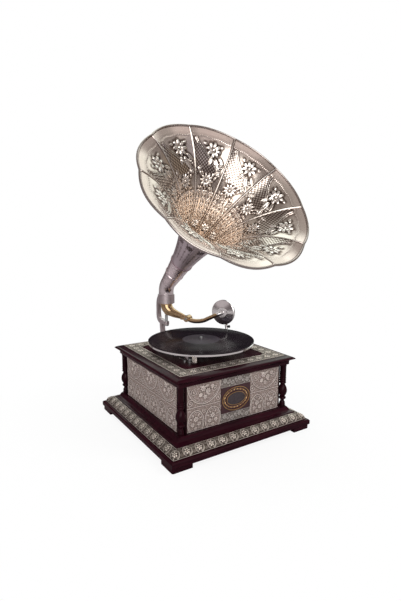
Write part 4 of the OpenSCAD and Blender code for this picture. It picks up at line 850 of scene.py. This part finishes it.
def makeHorn():
    # depth against length along the sheet, so that the design isn't stretched
    depths = np.linspace(0, horn["bell"], 2001)
    run = np.concatenate([[0], np.cumsum(np.hypot(np.diff(depths), np.diff(flare(depths))))])
    inward = np.linspace(run[-1], 0, horn["rows"])
    steps = np.concatenate([inward[:1], inward, inward[::-1], inward[:1]])
    fine = np.array(horn["seamShares"])
    wide = np.linspace(horn["openFrom"], 1 - horn["openFrom"], horn["openColumns"])
    shares = np.concatenate([fine, wide, 1 - fine[::-1]])
    columns, total = len(shares) + 1, len(steps) - 1

    def petalWidth(y):
        return 2 * math.pi * float(flare(np.interp(y * mm, run, depths))) / horn["petals"] / mm

    def place(column, row):
        # the sheet's inner face, then its outer one, closed along seams and ends at mid-thickness
        share = shares[np.clip(column - 1, 0, len(shares) - 1)]
        inner = row <= horn["rows"]
        depth = np.interp(steps[row], run, depths)
        width = 2 * np.pi * flare(depth) / horn["petals"] / mm
        art = Relief((share - 0.5) * width, steps[row] / mm)
        scales = drawPetal(art, petalWidth)
        fromSeam = (0.5 - np.abs(share - 0.5)) * width
        art.h *= np.clip(fromSeam / petal["edgeFadeMm"] - 0.7, 0, 1)
        ridge = np.sqrt(np.clip(1 - (fromSeam / petal["ridgeHalfMm"]) ** 2, 0, 1))
        # full relief by the rim, about a third of it in the throat
        pressed = art.h * horn["peakMm"] * mm * np.clip(1.15 - depth / horn["bell"] * 0.8, 0, 1)
        closing = onSkirt(column, row, columns, total)
        inset = np.where(inner, horn["sheet"] + horn["seam"] * ridge + pressed, pressed * 0.5)
        points = petalPlace(share, depth, np.where(closing, horn["sheet"] * 0.5, inset))
        # painted shade round the forms is strong by the rim and weak where the horn gets deep
        deep = np.clip(depth / horn["bell"] * 3 - 0.9, 0, 1)
        drawn = np.where(inner, np.maximum(art.h, petal["scaleTone"] * scales), 0)
        tone = paintedToneOf(drawn, column, row, gap=0.97 - 0.8 * deep, **horn["tone"])
        # painted highlight on the seam's ridge, with a line of painted shade beside it
        tone = np.maximum(tone, ridge * 0.9) - 0.28 * np.exp(-((fromSeam - 2.6) / 0.8) ** 2)
        # outside, the backs of the pressed forms are darker: painted shade in their hollows
        outer = 0.5 - 0.3 * np.clip(art.h, 0, 1)
        relief = np.clip(np.where(inner, tone, outer), 0, 1)
        return points, {"relief": relief, "depth": depth / horn["bell"], "inside": np.where(inner, 1.0, 0.0)}

    names = [f"hornPetal{k + 1}" for k in range(horn["petals"])]
    put = hornMatrix()
    base = gridMesh("petal", columns, total, place)
    copiesRound(base, names, put, horn["turnDeg"], "horn", "horn", "horn_bell")
    makeRim(put)
    print("horn petals pressed:", horn["petals"])


def makeRim(put):
    # rolled edge along the scalloped mouth: one ring of points for each step, closed on itself
    around, radius = horn["rimSides"], horn["rimRadius"]
    turnAt = wallTurn(0)
    k = np.arange(horn["petals"] * horn["rimSteps"])
    share = (k % horn["rimSteps"]) / horn["rimSteps"]
    base = petalPlace(share, np.zeros(len(k)), np.full(len(k), horn["sheet"] / 2))
    r = np.hypot(base[:, 0], base[:, 1])
    turn = 2 * np.pi * k / len(k) + math.radians(horn["turnDeg"])
    work = bmesh.new()
    rings = []
    for i in range(len(k)):
        ring = []
        for j in range(around):
            a = turnAt + 2 * math.pi * j / around
            out = r[i] + radius * (math.cos(a) + math.sin(turnAt))
            deep = base[i, 2] + radius * (math.sin(a) - math.cos(turnAt))
            point = Vector((out * math.cos(turn[i]), out * math.sin(turn[i]), deep))
            ring.append(work.verts.new(put @ point))
        rings.append([work.edges.new((ring[j], ring[(j + 1) % around])) for j in range(around)])
    for first, second in zip(rings, rings[1:] + rings[:1]):
        bmesh.ops.bridge_loops(work, edges=first + second)
    smoothFaces(work)
    meshObject("hornRim", meshFrom(work, "hornRim"), "horn", "rim")


# ornament of the badge; bead and lozenge give sides and share of the size
badge = {"faceMm": 140.6, "centreMm": 99.7, "longMm": 30.6, "highMm": 20.1, "riseMm": 0.9, "sizeMm": 2.3,
         "count": 44, "bead": (12, 0.55), "lozenge": (4, 1.0)}


def makeBadge():
    # lozenges and beads by turns on the maroon ring between the two gold ovals, with beads alone
    # at its two ends
    work = bmesh.new()
    half = badge["count"] // 2
    for k in range(badge["count"]):
        a = 2 * math.pi * k / badge["count"]
        across, up = badge["longMm"] * math.cos(a), badge["centreMm"] + badge["highMm"] * math.sin(a)
        centre = Vector((across, -badge["faceMm"] - badge["riseMm"] / 2, up))
        atEnd = k % half < 2 or k % half > half - 2
        sides, size = badge["bead"] if k % 2 or atEnd else badge["lozenge"]
        lie = Matrix.Rotation(math.pi / 2, 4, "X") @ Matrix.Rotation(-a, 4, "Z")
        bmesh.ops.create_cone(work, cap_ends=True, segments=sides, radius1=badge["sizeMm"] * size,
                              radius2=badge["sizeMm"] * size * 0.35, depth=badge["riseMm"],
                              matrix=Matrix.Translation(centre) @ lie)
    bmesh.ops.scale(work, vec=(mm, mm, mm), verts=work.verts)
    bmesh.ops.translate(work, vec=spindleFoot, verts=work.verts)
    bmesh.ops.recalc_face_normals(work, faces=work.faces)
    meshObject("badgeBeads", meshFrom(work, "badgeBeads"), "root", "gold")
    print("badge ornament made")


# CAD nodes that keep their shape; those not named here are turned steel
nodeFinish = {
    "feet": "lacquerX", "plinth_frame": "lacquerX", "case_walls": "shadedLacquerZ", "corner_columns": "shadedLacquerZ",
    "top_frame": "lacquerX", "crank_handle": "lacquerX", "bottom_board": "maroonBoard",
    "motor_board": "maroonBoard", "badge_plate": "maroonPaint", "badge_ring": "gold",
    "badge_oval": "enamel", "platter": "nickel", "brake_lever": "nickel", "speed_lever": "nickel",
    "crank_arm": "nickel", "horn_elbow": "elbow", "horn_neck": "neck", "soundbox_back": "nickel",
    "soundbox_ring": "nickel", "needle_bar": "nickel", "platter_felt": "felt", "record": "record",
    "mainspring": "spring", "return_stop_spring": "spring", "governor_springs": "spring",
    "worm_wheel": "brassGear", "idler_wheel": "brassGear", "crown_wheel": "brassGear",
    "governor_disc": "brassGear", "governor_bearings": "brassGear", "barrel_cover": "brassGear",
    "crank_plate": "brassGear", "tonearm": "brassArm", "gooseneck": "brassArm",
    "governor_brake": "leather", "back_bracket": "cast", "diaphragm": "mica", "needle_screw": "black",
}


def dressNodes():
    mergeDistance, keptEdge = 1e-6, math.radians(32)
    for name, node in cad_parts.items():
        finish = finishes[nodeFinish.get(name, "steel")]
        node.data.materials.clear()
        node.data.materials.append(finish)
        for face in node.data.polygons:
            face.use_smooth = True
        weld = node.modifiers.new("joinTriangles", "WELD")
        weld.merge_threshold = mergeDistance
        split = node.modifiers.new("keepEdges", "EDGE_SPLIT")
        split.split_angle = keptEdge
    print("CAD nodes dressed:", len(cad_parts))


# floor, light and camera
stageSet = {"floorSize": 8.0, "shadowReach": 0.22, "shadowFade": 3.0, "nearWhite": 0.88, "farWhite": 0.12,
            "worldGrey": 0.6, "camera": (-0.5485, -0.8462, 0.4602), "yawDeg": 32.858,
            "pitchDeg": -9.284, "rollDeg": 0.12, "lens": 25.75, "aimHigh": 0.3}
# lamps: name, place seen from the aim, size across and up, watts
lamps = [
    ("keyPanel", (1.3, -1.5, 1.3), (0.9, 1.2), 26),
    ("fillPanel", (-1.9, -0.6, 0.9), (1.0, 1.4), 14),
    ("topPanel", (-0.2, 0.6, 1.9), (1.4, 1.0), 14),
]
# soft panels that only reflections show: azimuth from the front towards the right, height and
# half width in degrees, colour
panels = [
    (0, 90, 62, (0.47, 0.44, 0.41)),
    (-14, 29, 24, (4.6, 4.5, 4.4)),
    (-38, 13, 19, (3.4, 3.3, 3.2)),
    (136, 30, 44, (1.75, 1.87, 1.75)),
    (108, 38, 12, (1.25, 1.30, 1.2)),
    (38, 46, 16, (0.85, 0.78, 0.74)),
    (30, 22, 17, (0.40, 0.36, 0.38)),
    (66, 8, 24, (0.30, 0.24, 0.19)),
    (-48, 64, 27, (0.22, 0.18, 0.165)),
    (-95, 26, 30, (0.52, 0.46, 0.46)),
    (150, 9, 22, (0.02, 0.018, 0.024)),
]
panelGround = (0.17, 0.14, 0.14)
panelGain = 2.5  # a panel is at full strength over most of its width


def makeFloor():
    # white to the camera, but for a soft shadow close to the feet
    work = bmesh.new()
    bmesh.ops.create_grid(work, x_segments=1, y_segments=1, size=stageSet["floorSize"] / 2)
    mesh = meshFrom(work, "floor")
    floor = linked("floor", mesh)
    made = Finish("paleFloor", roughness=0.7, specular=0.2)
    camera, glossy = made.rays("Is Camera Ray", "Is Glossy Ray")
    away = made.length(made.place(centre=spindleFoot))
    farOff = ((away - stageSet["shadowReach"]) * stageSet["shadowFade"]).clipped()
    white = camera * (farOff * stageSet["farWhite"] + stageSet["nearWhite"])
    glow = made.add("Emission", None, {"Color": grey(1.0), "Strength": 1.0})
    made.set(baseColor=made.mix(glossy, grey(0.86), (0.40, 0.37, 0.37, 1)))
    lit = Wire(made.tree, made.shader.outputs[0])
    blend = made.add("MixShader", None, {0: white, 1: lit, 2: glow})
    plug(made.tree, blend, made.tree.nodes["Material Output"].inputs["Surface"])
    mesh.materials.append(made.material)


def makeWorld():
    # even grey light, white to the camera, and the panels in reflections
    world = bpy.data.worlds.new("studio")
    bpy.context.scene.world = world
    world.use_nodes = True
    made = Shading(world.node_tree)
    back = made.tree.nodes["Background"]
    camera, glossy, through = made.rays("Is Camera Ray", "Is Glossy Ray", "Is Transmission Ray")
    where = made.add("TexCoord", out="Generated")
    shown = made.add("RGB")
    shown.socket.default_value = (*panelGround, 1)
    for side, high, reach, colour in panels:
        turn, lift = math.radians(side), math.radians(high)
        toward = (math.sin(turn) * math.cos(lift), -math.cos(turn) * math.cos(lift), math.sin(lift))
        near = made.add("VectorMath", {"operation": "DOT_PRODUCT"}, {0: where, 1: toward}, out="Value")
        edge = math.cos(math.radians(reach))
        share = ((near - edge) / (1 - edge)).clipped()
        shown = made.mix((share * panelGain).clipped(), shown, (*colour, 1))
    light = made.mix((camera + through).clipped(), grey(stageSet["worldGrey"]), grey(1.0))
    plug(made.tree, made.mix(glossy, light, shown), back.inputs["Color"])


def addLamp(name, place, target, size, watts):
    data = bpy.data.lights.new(name, "AREA")
    data.shape, data.size, data.size_y, data.energy = "RECTANGLE", size[0], size[1], watts
    lamp = linked(name, data)
    lamp.location = place
    lamp.visible_glossy = False
    lamp.rotation_euler = (Vector(target) - Vector(place)).to_track_quat("-Z", "Y").to_euler()


def addCamera():
    data = bpy.data.cameras.new("photoCamera")
    data.lens = stageSet["lens"]
    data.sensor_width = 36
    camera = linked("photoCamera", data)
    yaw, pitch, roll = (math.radians(stageSet[k]) for k in ("yawDeg", "pitchDeg", "rollDeg"))
    level = Matrix.Rotation(-yaw, 4, "Z") @ Matrix.Rotation(math.pi / 2 + pitch, 4, "X")
    turn = level @ Matrix.Rotation(roll, 4, "Z")
    camera.matrix_world = Matrix.Translation(spindleFoot + Vector(stageSet["camera"])) @ turn
    bpy.context.scene.camera = camera


def makeStage():
    makeFloor()
    makeWorld()
    aim = spindleFoot + Vector((0, 0, stageSet["aimHigh"]))
    for name, offset, size, watts in lamps:
        addLamp(name, aim + Vector(offset), aim, size, watts)
    addCamera()
    bpy.context.scene.view_settings.view_transform = "Standard"
    print("stage set")


makeStage()
makeCase()
makeBand()
makeBorder()
makeHorn()
makeBadge()
dressNodes()
